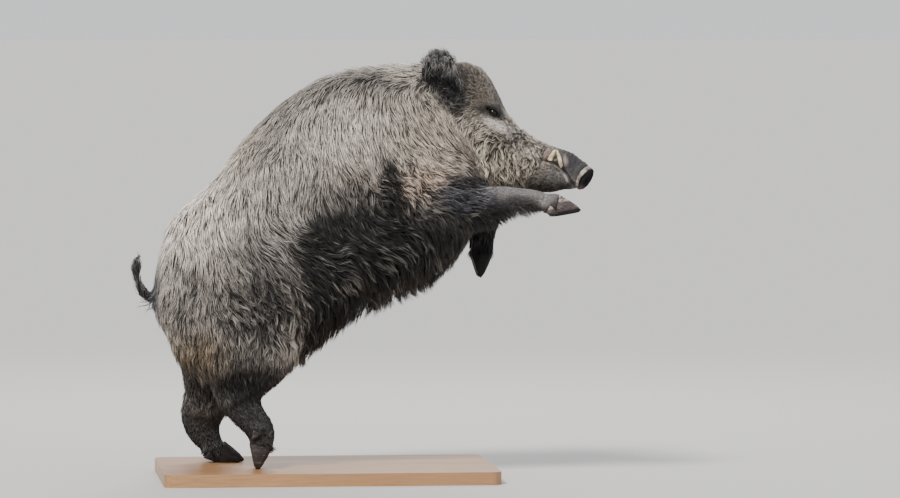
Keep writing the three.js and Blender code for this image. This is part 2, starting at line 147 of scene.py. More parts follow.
class Finish:
    """A material with a Principled shader, whose constants are set on its own sockets."""

    def __init__(self, name, **constants):
        self.material = bpy.data.materials.new(name)
        self.material.use_nodes = True
        self.tree = self.material.node_tree
        self.shader = self.tree.nodes["Principled BSDF"]
        for socket, value in constants.items():
            self.shader.inputs[socket.replace("_", " ")].default_value = value

    def node(self, kind, settings=None, sockets=None, output=0):
        """Adds a node: its settings first, then values or links for its sockets."""
        node = self.tree.nodes.new("ShaderNode" + kind)
        for name, value in (settings or {}).items():
            setattr(node, name, value)
        for name, value in (sockets or {}).items():
            self.feed(node.inputs[name], value)
        return Wire(self, node.outputs[output])

    def feed(self, socket, value):
        if isinstance(value, Wire):
            self.tree.links.new(value.socket, socket)
        elif hasattr(value, "__len__") and socket.type == "RGBA" and len(value) == 3:
            socket.default_value = (*value, 1)
        else:
            socket.default_value = value

    def set(self, **wires):
        """Links or sets sockets of the shader."""
        for socket, value in wires.items():
            self.feed(self.shader.inputs[socket.replace("_", " ")], value)

    def place(self, scale=(1, 1, 1)):
        """Object coordinates, stretched."""
        at = self.node("TexCoord", output=3)
        return self.node("Mapping", {}, {"Vector": at, "Scale": scale})

    def noise(self, at, scale, detail=3, roughness=0.5):
        sockets = {"Vector": at, "Scale": scale, "Detail": detail, "Roughness": roughness}
        return self.node("TexNoise", {}, sockets)

    def mix(self, factor, a, b):
        settings = {"data_type": "RGBA", "blend_type": "MIX", "clamp_factor": True}
        return self.node("Mix", settings, {0: factor, 6: a, 7: b}, output=2)

    def scaled(self, colour, gain):
        """A colour made brighter or darker."""
        return self.node("VectorMath", {"operation": "SCALE"}, {0: colour, "Scale": gain})

    def attribute(self, name, output=0):
        return self.node("Attribute", {"attribute_name": name}, output=output)

    def bump(self, height, distance, strength=1.0):
        sockets = {"Height": height, "Distance": distance, "Strength": strength}
        return self.node("Bump", {}, sockets)


def tone(red, green, blue):
    """A screen colour of 0 to 255 as light values."""
    return tuple(
        c / 12.92 if c <= 0.04045 else ((c + 0.055) / 1.055) ** 2.4
        for c in (red / 255, green / 255, blue / 255)
    )


def wood_finish():
    finish = Finish("varnished_wood", Coat_Roughness=0.25)
    along = finish.place((1, 9, 9))
    wander = finish.noise(along, 1.6, 2)
    rings = finish.node(
        "TexWave",
        {"wave_type": "BANDS", "bands_direction": "Y", "wave_profile": "SAW"},
        {
            "Vector": finish.place((0.5, 5, 5)),
            "Scale": 2.2,
            "Distortion": 7.5,
            "Detail": 3,
            "Detail Scale": 0.7,
        },
        output=1,
    )
    fibre = finish.noise(finish.place((3, 90, 90)), 4, 4, 0.6)
    plank = finish.mix(rings, tone(171, 128, 84), tone(128, 86, 52))
    plank = finish.mix(fibre.within(0.35, 0.7) * 0.55, plank, tone(92, 60, 36))
    plank = finish.mix(wander.within(0.3, 0.75) * 0.35, plank, tone(186, 146, 101))
    finish.set(
        Base_Color=plank,
        Roughness=fibre * 0.22 + 0.33,
        Coat_Weight=wander * 0.2 + 0.15,
        Normal=finish.bump(fibre + rings * 0.4, 0.0006, 0.6),
    )
    return finish.material


def floor_finish():
    finish = Finish("pale_floor", Roughness=0.8)
    grain = finish.noise(finish.place(), 6, 3)
    finish.set(Base_Color=finish.mix(grain * 0.2, (0.47, 0.465, 0.46), (0.44, 0.438, 0.437)))
    return finish.material


def wear(thing, material):
    """Gives an object that material alone."""
    thing.data.materials.clear()
    thing.data.materials.append(material)


wear(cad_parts["stand_base"], wood_finish())
wear(floor, floor_finish())


# ---------------------------------------------------------------- skin
# One hide over trunk, neck, head, ears, tail and legs, without a seam. It takes up the
# body's solids, sunk by the depth of the coat that covers them.
NOT_FLESH = ("stand_", "hoof_", "dewclaw_", "eye_", "tusk_", "nose_")
FLESH = sorted(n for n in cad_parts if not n.startswith(NOT_FLESH))
SKIN_GRID = 0.0062
JOIN_OVERLAP = 0.0016  # how far each solid is swollen so that it melts into the next

# The coat by part: its depth, the length and width of its locks, how steeply they stand,
# how much they hang and wave, how thickly they lie, how much they gather to points, how
# far each strays from the lie in radians and how much light and dark hairs differ.
COAT = {
    "trunk": (0.012, 0.052, 0.0017, 0.25, 0.20, 0.0018, 1.0, 0.50, 0.14, 1.2),
    "neck": (0.012, 0.048, 0.0017, 0.26, 0.20, 0.0024, 1.0, 0.50, 0.17, 1.4),
    "head": (0.007, 0.016, 0.0013, 0.30, 0.10, 0.0020, 1.0, 0.40, 0.35, 1.5),
    "lower_jaw": (0.003, 0.009, 0.0010, 0.22, 0.15, 0.0010, 1.0, 0.40, 0.35, 1.5),
    "ear": (0.0030, 0.032, 0.0013, 0.95, 0.00, 0.0024, 1.0, 0.55, 0.50, 2.1),
    "tail": (0.004, 0.030, 0.0014, 0.25, 0.00, 0.0010, 0.7, 0.50, 0.20, 1.4),
    "thigh": (0.012, 0.050, 0.0018, 0.25, 0.25, 0.0036, 1.0, 0.55, 0.20, 1.5),
    "shank": (0.009, 0.036, 0.0018, 0.25, 0.30, 0.0034, 1.0, 0.60, 0.24, 1.6),
    "hind_cannon": (0.004, 0.014, 0.0014, 0.20, 0.20, 0.0010, 0.7, 0.45, 0.20, 1.5),
    "upper_arm": (0.011, 0.040, 0.0018, 0.28, 0.25, 0.0044, 1.0, 0.60, 0.25, 1.9),
    "forearm": (0.004, 0.012, 0.0012, 0.14, 0.15, 0.0005, 0.7, 0.40, 0.18, 0.9),
    "fore_cannon": (0.0025, 0.008, 0.0010, 0.12, 0.05, 0.0000, 0.6, 0.30, 0.18, 0.9),
    "forearm_left": (0.006, 0.034, 0.0017, 0.35, 0.35, 0.0030, 1.0, 0.60, 0.25, 1.6),
    "fore_cannon_left": (0.004, 0.026, 0.0015, 0.30, 0.30, 0.0020, 1.0, 0.60, 0.25, 1.6),
}
DEPTH, LENGTH, WIDTH, LIFT, DROOP, WAVE, COVER, GATHER, WILD, MOTTLE = range(10)

# On the body it changes from place to place: each row is led by a place seen from the
# side, x and z, and how far it reaches there.
BODY_COAT = [
    ((0.05, 0.975), (0.32, 0.035), (0.012, 0.034, 0.0015, 0.65, 0.0, 0.0008, 1.2, 0.3, 0.34, 1.3)),
    ((-0.24, 0.79), (0.20, 0.04), (0.012, 0.036, 0.0016, 0.40, 0.0, 0.0010, 1.1, 0.4, 0.22, 1.2)),
    ((0.12, 0.52), (0.25, 0.10), (0.014, 0.058, 0.0019, 0.28, 0.3, 0.0060, 1.0, 0.9, 0.24, 2.8)),
    ((-0.08, 0.40), (0.16, 0.09), (0.013, 0.056, 0.0019, 0.26, 0.3, 0.0055, 1.0, 0.9, 0.24, 2.6)),
    ((-0.18, 0.42), (0.09, 0.08), (0.012, 0.046, 0.0018, 0.30, 0.2, 0.0060, 1.0, 0.9, 0.34, 2.4)),
    ((0.24, 0.67), (0.13, 0.06), (0.011, 0.038, 0.0017, 0.30, 0.1, 0.0052, 1.1, 0.9, 0.36, 2.6)),
    ((0.09, 0.69), (0.06, 0.05), (0.012, 0.044, 0.0018, 0.36, 0.2, 0.0050, 1.0, 0.8, 0.40, 2.2)),
    ((0.27, 0.90), (0.05, 0.06), (0.009, 0.026, 0.0014, 0.50, 0.1, 0.0024, 1.1, 0.5, 0.45, 1.7)),
]
UNDER_FRINGE = (0.014, 0.066, 0.0019, 0.45, 0.45, 0.0044, 1.0, 0.75, 0.28, 1.8)
ARM_FRINGE = (0.005, 0.030, 0.0014, 0.45, 0.60, 0.0020, 1.1, 0.60, 0.30, 1.6)
FOOT_COAT = (0.0004, 0.024, 0.0014, 0.30, 0.1, 0.0008, 1.5, 0.5, 0.30, 1.4)
REACHING_FOOT = (0.0004, 0.010, 0.0010, 0.24, 0.0, 0.0002, 1.3, 0.4, 0.22, 1.0)
REACHING_FROM = 0.46  # only the right forefoot is as far ahead as this
SLEEVE = (0.335, 0.385)  # where the long hair of the right foreleg gives way to short

# On the head the same, in the skull's frame: length along it and height above its axis.
FACE_COAT = [
    ((0.050, 0.075), (0.100, 0.050), (0.007, 0.014, 0.0011, 0.65, 0.0, 0.0010, 1.2, 0.3, 0.70, 2.5)),
    ((0.050, 0.020), (0.036, 0.050), (0.008, 0.026, 0.0014, 0.50, 0.1, 0.0030, 1.1, 0.6, 0.50, 1.7)),
    ((0.135, 0.060), (0.045, 0.020), (0.004, 0.010, 0.0010, 0.35, 0.0, 0.0005, 1.1, 0.2, 0.45, 2.2)),
    ((0.105, -0.050), (0.060, 0.040), (0.008, 0.028, 0.0015, 0.24, 0.1, 0.0022, 1.1, 0.5, 0.28, 1.6)),
    ((0.195, -0.070), (0.105, 0.060), (0.010, 0.044, 0.0017, 0.30, 0.2, 0.0062, 1.3, 0.85, 0.26, 2.3)),
    ((0.215, -0.005), (0.050, 0.030), (0.006, 0.022, 0.0014, 0.36, 0.0, 0.0050, 1.3, 0.85, 0.60, 2.3)),
    ((0.262, -0.020), (0.045, 0.040), (0.006, 0.022, 0.0014, 0.34, 0.0, 0.0045, 1.3, 0.85, 0.45, 2.3)),
    ((0.170, 0.000), (0.036, 0.013), (0.004, 0.009, 0.0010, 0.25, 0.0, 0.0010, 1.1, 0.3, 0.50, 1.8)),
    ((0.148, 0.025), (0.030, 0.017), (0.002, 0.005, 0.0008, 0.12, 0.0, 0.0003, 0.8, 0.2, 0.30, 1.2)),
    ((0.250, 0.030), (0.055, 0.014), (0.004, 0.013, 0.0012, 0.40, 0.0, 0.0030, 1.2, 0.7, 0.70, 2.2)),
    ((0.350, 0.010), (0.042, 0.042), (0.0014, 0.005, 0.0008, 0.10, 0.0, 0.0002, 0.7, 0.2, 0.25, 1.2)),
    ((0.345, -0.040), (0.045, 0.032), (0.0022, 0.007, 0.0010, 0.20, 0.1, 0.0008, 0.9, 0.4, 0.40, 2.2)),
    ((0.400, -0.010), (0.036, 0.060), (0.0002, 0.004, 0.0008, 0.08, 0.0, 0.0000, 0.5, 0.1, 0.20, 1.0)),
]
HEAD_PLACE = (
    Matrix.Translation((0.270, 0, 0.909))
    @ Matrix.Rotation(math.radians(-16), 4, "Z")
    @ Matrix.Rotation(math.radians(29.7), 4, "Y")
)
HEAD_TURN = np.array(HEAD_PLACE.to_3x3())
HEAD_ORIGIN = np.array(HEAD_PLACE.translation)


def in_head(points):
    """Places as length along the skull, side and height above its axis."""
    return (points - HEAD_ORIGIN) @ HEAD_TURN


def out_of_head(local):
    return local @ HEAD_TURN.T + HEAD_ORIGIN


def part_of(node):
    """The key of COAT that a node's name starts with."""
    return max((key for key in COAT if node.startswith(key)), key=len)


def read_points(mesh, normals=False):
    found = np.empty(len(mesh.vertices) * 3)
    if normals:
        mesh.vertex_normals.foreach_get("vector", found)
    else:
        mesh.vertices.foreach_get("co", found)
    return found.reshape(-1, 3)


def write_points(mesh, points):
    mesh.vertices.foreach_set("co", np.ascontiguousarray(points).ravel())
    mesh.update()


def read_edges(mesh):
    found = np.empty(len(mesh.edges) * 2, np.int32)
    mesh.edges.foreach_get("vertices", found)
    return found.reshape(-1, 2)


def relaxed(values, edges, rounds, weight=0.5):
    """Values of the vertices, drawn towards the mean of their neighbours'."""
    a, b = edges.T
    size = len(values)
    count = np.bincount(edges.ravel(), minlength=size)[:, None]
    for _ in range(rounds):
        total = np.stack([
            np.bincount(a, column[b], size) + np.bincount(b, column[a], size)
            for column in values.T
        ], 1)
        values = values + weight * (total / count - values)
    return values


def evened(points, edges, rounds):
    """Smooths facets away with hardly any loss of size."""
    for _ in range(rounds):
        points = relaxed(points, edges, 1, 0.5)
        points = relaxed(points, edges, 1, -0.52)
    return points


def unit(vectors):
    return vectors / np.maximum(np.linalg.norm(vectors, axis=1, keepdims=True), 1e-12)


def solid_copy(names, swell, grid):
    """One closed mesh melted together from copies of CAD nodes."""
    whole = bmesh.new()
    for name in names:
        part = bmesh.new()
        part.from_mesh(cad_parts[name].data)
        bmesh.ops.remove_doubles(part, verts=part.verts, dist=1e-5)
        part.normal_update()
        moved = [v.co + v.normal * swell for v in part.verts]
        for vertex, place in zip(part.verts, moved):
            vertex.co = place
        copy = bpy.data.meshes.new(name)
        part.to_mesh(copy)
        part.free()
        whole.from_mesh(copy)
        bpy.data.meshes.remove(copy)
    mesh = bpy.data.meshes.new("melted")
    whole.to_mesh(mesh)
    whole.free()
    thing = bpy.data.objects.new("melted", mesh)
    bpy.context.scene.collection.objects.link(thing)
    remesh = thing.modifiers.new("melt", "REMESH")
    remesh.mode = "VOXEL"
    remesh.voxel_size = grid
    graph = bpy.context.evaluated_depsgraph_get()
    melted = bpy.data.meshes.new_from_object(thing.evaluated_get(graph))
    bpy.data.objects.remove(thing)
    bpy.data.meshes.remove(mesh)
    return melted


class Nearest:
    """Finds which of some CAD nodes lies nearest to a place, and how far off it is."""

    def __init__(self, names):
        places, faces, self.owner = [], [], []
        for i, name in enumerate(names):
            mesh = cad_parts[name].data
            start = len(places)
            places += [tuple(v.co) for v in mesh.vertices]
            faces += [tuple(start + v for v in p.vertices) for p in mesh.polygons]
            self.owner += [i] * len(mesh.polygons)
        self.tree = BVHTree.FromPolygons(places, faces)

    def __call__(self, points):
        return np.array([self.owner[self.tree.find_nearest(p)[2]] for p in points])

    def distance(self, points):
        return np.array([self.tree.find_nearest(p)[3] for p in points])


def smooth_step(value, low, high):
    """0 on the side of `low` and 1 on that of `high`, which may be the smaller one."""
    t = np.clip((value - low) / (high - low), 0, 1)
    return t * t * (3 - 2 * t)


def patch_share(flat, middle, reach, turn=0, edge=1.5):
    """1 in the middle of an oval patch and 0 outside, with a soft or a crisp edge."""
    angle = math.radians(turn)
    way = np.array([[math.cos(angle), -math.sin(angle)], [math.sin(angle), math.cos(angle)]])
    far = (((flat - middle) @ way / reach) ** 2).sum(1)
    return np.exp(-far ** edge)


coat_rows = np.array([COAT[part_of(name)] for name in FLESH])
names = np.array(FLESH)
HEAD_PARTS = ("head", "lower_jaw")
REACHING_ARM = ("forearm_right", "fore_cannon_right")
BODY_PARTS = [n for n in FLESH if n.startswith(("trunk", "neck", "thigh", "upper_arm"))]


def moved_to(rows, share, row):
    return rows + share[:, None] * (np.array(row) - rows)


def coat_of(points, normals, owner):
    """The row of COAT for each vertex, changed by its place and by how far it faces down."""
    rows = coat_rows[owner]
    faces, bodies = rows, rows
    for middle, reach, row in FACE_COAT:
        faces = moved_to(faces, patch_share(in_head(points)[:, [0, 2]], middle, reach), row)
    for middle, reach, row in BODY_COAT:
        bodies = moved_to(bodies, patch_share(points[:, [0, 2]], middle, reach), row)
    down = smooth_step(-normals[:, 2], 0.35, 0.85)
    bodies = moved_to(bodies, down, UNDER_FRINGE)
    short = smooth_step(points[:, 0], *SLEEVE)
    wrist = smooth_step(points[:, 0], 0.44, 0.50)
    arm_down = smooth_step(-normals[:, 2], 0.0, 0.5) * (1 - wrist)
    sleeve = moved_to(moved_to(rows, 1 - short, COAT["upper_arm"]), arm_down, ARM_FRINGE)
    rows = np.where(np.isin(names[owner], HEAD_PARTS)[:, None], faces, rows)
    rows = np.where(np.isin(names[owner], BODY_PARTS)[:, None], bodies, rows)
    rows = np.where(np.isin(names[owner], REACHING_ARM)[:, None], sleeve, rows)
    foot = smooth_step(nearest_hoof.distance(points), 0.020, 0.003)
    reaching = points[:, 0] > REACHING_FROM
    return moved_to(moved_to(rows, foot * ~reaching, FOOT_COAT), foot * reaching, REACHING_FOOT)


hide = solid_copy(FLESH, JOIN_OVERLAP, SKIN_GRID)
nearest_node = Nearest(FLESH)
nearest_hoof = Nearest([n for n in sorted(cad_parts) if n.startswith("hoof_")])

points = read_points(hide)
edges = read_edges(hide)
points = evened(points, edges, 10)
owner = nearest_node(points)
write_points(hide, points)
depth = relaxed(coat_of(points, read_points(hide, normals=True), owner)[:, [DEPTH]], edges, 10)
SINK_STEPS = 6
for _ in range(SINK_STEPS):
    write_points(hide, points)
    points = points - read_points(hide, normals=True) * (depth + JOIN_OVERLAP) / SINK_STEPS
    soft = np.clip(depth / 0.02, 0, 1) * 0.5
    points = relaxed(points, edges, 2, soft)
write_points(hide, points)


# ---------------------------------------------------------------- unwrap of the skin
# A flat layout of the whole hide, island by island, on which the skin and each lock of
# the coat find their own spot.
skin = bpy.data.objects.new("skin", hide)
bpy.context.scene.collection.objects.link(skin)
bpy.context.view_layer.objects.active = skin
skin.select_set(True)
hide.uv_layers.new(name="OFBake")
bpy.ops.object.mode_set(mode="EDIT")
bpy.ops.mesh.select_all(action="SELECT")
bpy.ops.uv.smart_project(angle_limit=1.15, island_margin=0.004, scale_to_bounds=True)
bpy.ops.object.mode_set(mode="OBJECT")

# ---------------------------------------------------------------- face
# Lids round the eyes, a crease for the mouth, lips that part round the tusks and folds
# across the snout, worked into a finer net of the skin.
FACE_PARTS = (*HEAD_PARTS, "ear_right", "ear_left")
EYE_RADIUS = 0.012
EYE_REACH = 0.036  # how far from the eye's centre its lids and folds go
MOUTH = np.array([
    (0.386, -0.032),
    (0.362, -0.016),
    (0.344, -0.009),
    (0.322, -0.009),
    (0.302, -0.017),
    (0.282, -0.031),
    (0.258, -0.056),
    (0.225, -0.088),
])
# Folds of the lips behind and before the tusks: line, rise and half their breadth.
LIP_FOLDS = [
    ([(0.308, -0.020), (0.300, -0.006), (0.299, 0.010)], 0.0024, 0.0040),
    ([(0.296, -0.020), (0.289, -0.008), (0.286, 0.004)], -0.0026, 0.0024),
    ([(0.351, -0.006), (0.348, 0.006), (0.337, 0.019)], 0.0022, 0.0030),
]


def from_line(flat, line):
    """Distance of each flat point to an open line, and how far along that is."""
    best = np.full(len(flat), 1e9)
    along = np.zeros(len(flat))
    for i, (a, b) in enumerate(zip(line[:-1], line[1:])):
        step = b - a
        t = np.clip((flat - a) @ step / (step @ step), 0, 1)
        far = np.linalg.norm(flat - a - t[:, None] * step, axis=1)
        closer = far < best
        along = np.where(closer, (i + t) / (len(line) - 1), along)
        best = np.minimum(best, far)
    return best, along


def refine(mesh, chosen):
    """Splits the faces whose vertices are all chosen into four."""
    net = bmesh.new()
    net.from_mesh(mesh)
    net.faces.ensure_lookup_table()
    faces = [f for f in net.faces if all(chosen[v.index] for v in f.verts)]
    rims = list({e for f in faces for e in f.edges})
    bmesh.ops.subdivide_edges(net, edges=rims, cuts=1, use_grid_fill=True)
    net.to_mesh(mesh)
    net.free()


def eye_frame(name):
    """The eye's centre in the skull's frame, with its outward, forward and upward axes."""
    low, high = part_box(name)
    centre = in_head(np.array([(low + high) / 2]))[0]
    side = math.copysign(1, centre[1])
    outward = np.array([0.16, side, 0.22])
    outward /= np.linalg.norm(outward)
    forward = np.array([1.0, 0, -0.12])
    forward -= outward * (forward @ outward)
    forward /= np.linalg.norm(forward)
    upward = np.cross(forward, outward) * -side
    return centre, outward, forward, upward


EYES = {name: eye_frame(name) for name in ("eye_right", "eye_left")}

owner = nearest_node(read_points(hide))
refine(hide, np.isin(names[owner], FACE_PARTS))
local = in_head(read_points(hide))
close = np.zeros(len(local), bool)
for centre, *_ in EYES.values():
    close |= np.linalg.norm(local - centre, axis=1) < EYE_REACH
line_off, _ = from_line(local[:, [0, 2]], MOUTH)
close |= (line_off < 0.016) & (np.abs(local[:, 1]) < 0.12) & (local[:, 2] > -0.13)
snout_end = (local[:, 0] > 0.325) & (local[:, 0] < 0.42) & (np.abs(local[:, 1]) < 0.07)
close |= snout_end & (local[:, 2] > -0.12)
refine(hide, close)
edges = read_edges(hide)
local = in_head(read_points(hide))
on_face = smooth_step(local[:, 0], -0.02, 0.06)
local = relaxed(local, edges, 4, 0.5 * on_face[:, None] * (np.abs(local[:, 1:2]) < 0.13))

EYE_HALF_LENGTH = 0.0115  # of the opening between the lids
EYE_HALF_HEIGHT = 0.0064
LID = 0.0026  # thickness of the lids over the eyeball


def almond_at(away, forward, upward):
    """1 on the rim of the eye's opening, less inside it and more outside."""
    a, b = away @ forward, away @ upward
    slanted = b + a * 0.10
    corner = 1 + 0.25 * (a / EYE_HALF_LENGTH) ** 2
    almond = (a / EYE_HALF_LENGTH) ** 2 + (slanted * corner / EYE_HALF_HEIGHT) ** 2
    return np.sqrt(almond + 1e-9), a, slanted


def shape_eye(local, centre, outward, forward, upward):
    """Pushes the skin into an almond opening with thick lids round the eyeball."""
    away = local - centre
    almond, a, slanted = almond_at(away, forward, upward)
    o = away @ outward
    r2 = (away @ forward) ** 2 + (away @ upward) ** 2
    inside = np.sqrt(np.maximum((EYE_RADIUS - 0.0020) ** 2 - r2, 0))
    lid = np.sqrt(np.maximum((EYE_RADIUS + LID) ** 2 - r2, 0))
    to_lid = smooth_step(almond, 0.94, 1.10)
    target = inside + (lid - inside) * to_lid
    upper = smooth_step(slanted, -0.002, 0.004)
    folds = 0.0016 * np.exp(-((almond - 1.22) / 0.12) ** 2)
    folds -= 0.0017 * np.exp(-((almond - 1.55) / 0.13) ** 2) * (0.5 + 0.5 * upper)
    folds += 0.0020 * np.exp(-((almond - 2.00) / 0.24) ** 2) * (0.3 + 0.7 * upper)
    folds -= 0.0010 * np.exp(-((almond - 2.55) / 0.22) ** 2)
    blend = 1 - smooth_step(almond, 1.2, 2.4)
    near = (np.sqrt(r2) < EYE_REACH) & (o > -0.02) & (o < 0.05)
    moved = (target - o) * blend + folds
    return local + outward * np.where(near, moved, 0)[:, None]


for name in EYES:
    local = shape_eye(local, *EYES[name])

NOSE_MIDDLE = np.array([0.393, 0, -0.0085])
NOSE_TURN = np.array(Matrix.Rotation(math.radians(-12), 3, "Z"))


def nose_ahead(local):
    """How far each place lies in front of the back of the nose's disc."""
    return ((local - NOSE_MIDDLE) @ NOSE_TURN)[:, 0]


side = np.abs(local[:, 1])
off, along = from_line(local[:, [0, 2]], MOUTH)
write_points(hide, out_of_head(local))
normals = unit(read_points(hide, normals=True) @ HEAD_TURN)
u, v = local[:, 0], local[:, 2]
facing_side = np.clip(np.abs(normals[:, 1]) * 1.3, 0, 1)
on_mouth = facing_side * (u > 0.2) * (side < 0.12) * (v > -0.125)
fade = 1 - smooth_step(along, 0.45, 0.70)
move = -0.0062 * np.exp(-(off / 0.0024) ** 2) * fade
below = v < np.interp(u, MOUTH[::-1, 0], MOUTH[::-1, 1])
lip = np.where(below, 0.0014, 0.0026)
move += lip * np.exp(-((off - 0.0062) / 0.0030) ** 2) * fade
move *= on_mouth
for line, rise, breadth in LIP_FOLDS:
    fold_off, _ = from_line(local[:, [0, 2]], np.array(line))
    move += rise * np.exp(-(fold_off / breadth) ** 2) * facing_side
ahead = nose_ahead(local)
snout = smooth_step(u, 0.29, 0.33) * (1 - smooth_step(ahead, -0.012, -0.006))
snout *= np.clip(normals[:, 2] * 1.5 + 0.4, 0, 1)
ripples = np.sin(u / 0.011 * 2 * math.pi + 2.6 * np.sin(side / 0.010) + v * 90)
move += 0.0005 * snout * ripples
move += 0.0030 * smooth_step(ahead, -0.022, -0.004)
local = local + normals * move[:, None]
write_points(hide, out_of_head(local))

triangulate = bmesh.new()
triangulate.from_mesh(hide)
bmesh.ops.triangulate(triangulate, faces=triangulate.faces)
triangulate.to_mesh(hide)
triangulate.free()
hide.shade_smooth()

# ---------------------------------------------------------------- markings
# The colour of the coat over the body, as soft oval patches laid over one another, and
# panels with crisp outlines on top. Most are the coat's own markings, and some carry painted
# light: highlights where the sun falls on the rump and upper flank, and shade on the underside.
# A patch has its middle and reach as seen from the side, its turn in degrees, its colour,
# how fully it covers and how crisp its edge is.
GROUND = tone(174, 166, 156)
BODY_PATCHES = [
    ((-0.16, 0.83), (0.27, 0.060), 50, tone(110, 105, 99), 0.82, 1.2),
    ((0.10, 0.930), (0.24, 0.040), 4, tone(122, 117, 112), 0.85, 1.2),
    ((0.13, 0.972), (0.14, 0.022), 0, tone(206, 198, 186), 0.90, 1.4),
    ((0.195, 0.940), (0.055, 0.026), 0, tone(212, 204, 191), 0.88, 1.4),
    # painted highlight over the top of the sunlit rump
    ((-0.26, 0.73), (0.12, 0.070), 45, tone(206, 192, 174), 0.70, 1.3),
    # painted highlight where the sun falls fullest on the rump
    ((-0.30, 0.59), (0.10, 0.15), -25, tone(242, 232, 221), 0.90, 1.3),
    ((-0.13, 0.66), (0.11, 0.13), -20, tone(204, 198, 190), 0.60, 1.3),
    # painted highlight on the sunlit upper flank behind the shoulder
    ((0.035, 0.80), (0.13, 0.085), 5, tone(220, 211, 200), 0.80, 1.3),
    ((0.26, 0.80), (0.08, 0.090), 20, tone(200, 187, 171), 0.80, 1.3),
    ((-0.16, 0.52), (0.08, 0.060), 0, tone(128, 123, 119), 0.70, 1.2),
    ((-0.31, 0.41), (0.09, 0.090), 0, tone(126, 119, 114), 0.85, 1.3),
    ((-0.30, 0.29), (0.07, 0.055), 0, tone(132, 117, 94), 0.90, 1.4),
    ((-0.15, 0.40), (0.095, 0.120), -15, tone(48, 46, 45), 0.90, 1.5),
    ((-0.21, 0.290), (0.05, 0.030), 0, tone(72, 69, 67), 0.70, 1.4),
    ((0.22, 0.690), (0.085, 0.042), 8, tone(184, 161, 142), 0.88, 1.6),
    ((0.07, 0.690), (0.035, 0.036), 0, tone(120, 112, 104), 0.85, 1.5),
    ((0.098, 0.688), (0.014, 0.012), 0, tone(190, 178, 162), 0.80, 1.8),
    # painted shade behind the cheek, where it meets the neck
    ((0.330, 0.763), (0.020, 0.078), 25, tone(112, 100, 90), 0.65, 1.4),
    ((-0.20, 0.228), (0.10, 0.050), 12, tone(12, 13, 19), 0.97, 2.2),
    ((0.06, 0.655), (0.15, 0.034), 4, tone(84, 80, 78), 0.75, 1.3),
    ((-0.10, 0.55), (0.045, 0.070), 0, tone(150, 144, 139), 0.60, 1.3),
]
# A panel has its corners seen from the side, its colour, its strength and how wide its
# edge fades.
BODY_PANELS = [
    # the dark underside and chest: the coat's own dark, deepened by painted shade
    (
        [(-0.074, 0.583), (-0.048, 0.611), (-0.002, 0.629), (0.103, 0.644), (0.230, 0.645),
         (0.300, 0.652), (0.400, 0.652), (0.440, 0.620), (0.46, 0.50), (0.15, 0.38), (0.00, 0.28),
         (-0.075, 0.29), (-0.066, 0.355), (-0.058, 0.430), (-0.076, 0.473)],
        tone(24, 23, 24), 0.97, 0.014,
    ),
    (
        [(0.190, 0.648), (0.290, 0.640), (0.300, 0.590), (0.200, 0.575)],
        tone(76, 72, 69), 0.92, 0.018,
    ),
    (
        [(0.118, 0.752), (0.147, 0.745), (0.170, 0.700), (0.182, 0.640), (0.150, 0.625),
         (0.128, 0.645), (0.120, 0.700)],
        tone(9, 8, 8), 0.98, 0.008,
    ),
    # painted sheen: blue-grey light on the hair at the root of the foreleg
    (
        [(0.225, 0.668), (0.290, 0.708), (0.345, 0.702), (0.385, 0.655), (0.300, 0.625)],
        tone(70, 71, 80), 0.88, 0.014,
    ),
    (
        [(0.290, 0.712), (0.372, 0.702), (0.385, 0.676), (0.305, 0.676)],
        tone(22, 22, 25), 0.88, 0.010,
    ),
    # the belly, darkest: the coat's own dark, deepened by painted shade
    (
        [(0.12, 0.500), (0.19, 0.535), (0.24, 0.500), (0.12, 0.420), (-0.02, 0.330),
         (-0.06, 0.370)],
        tone(15, 14, 14), 0.85, 0.016,
    ),
]
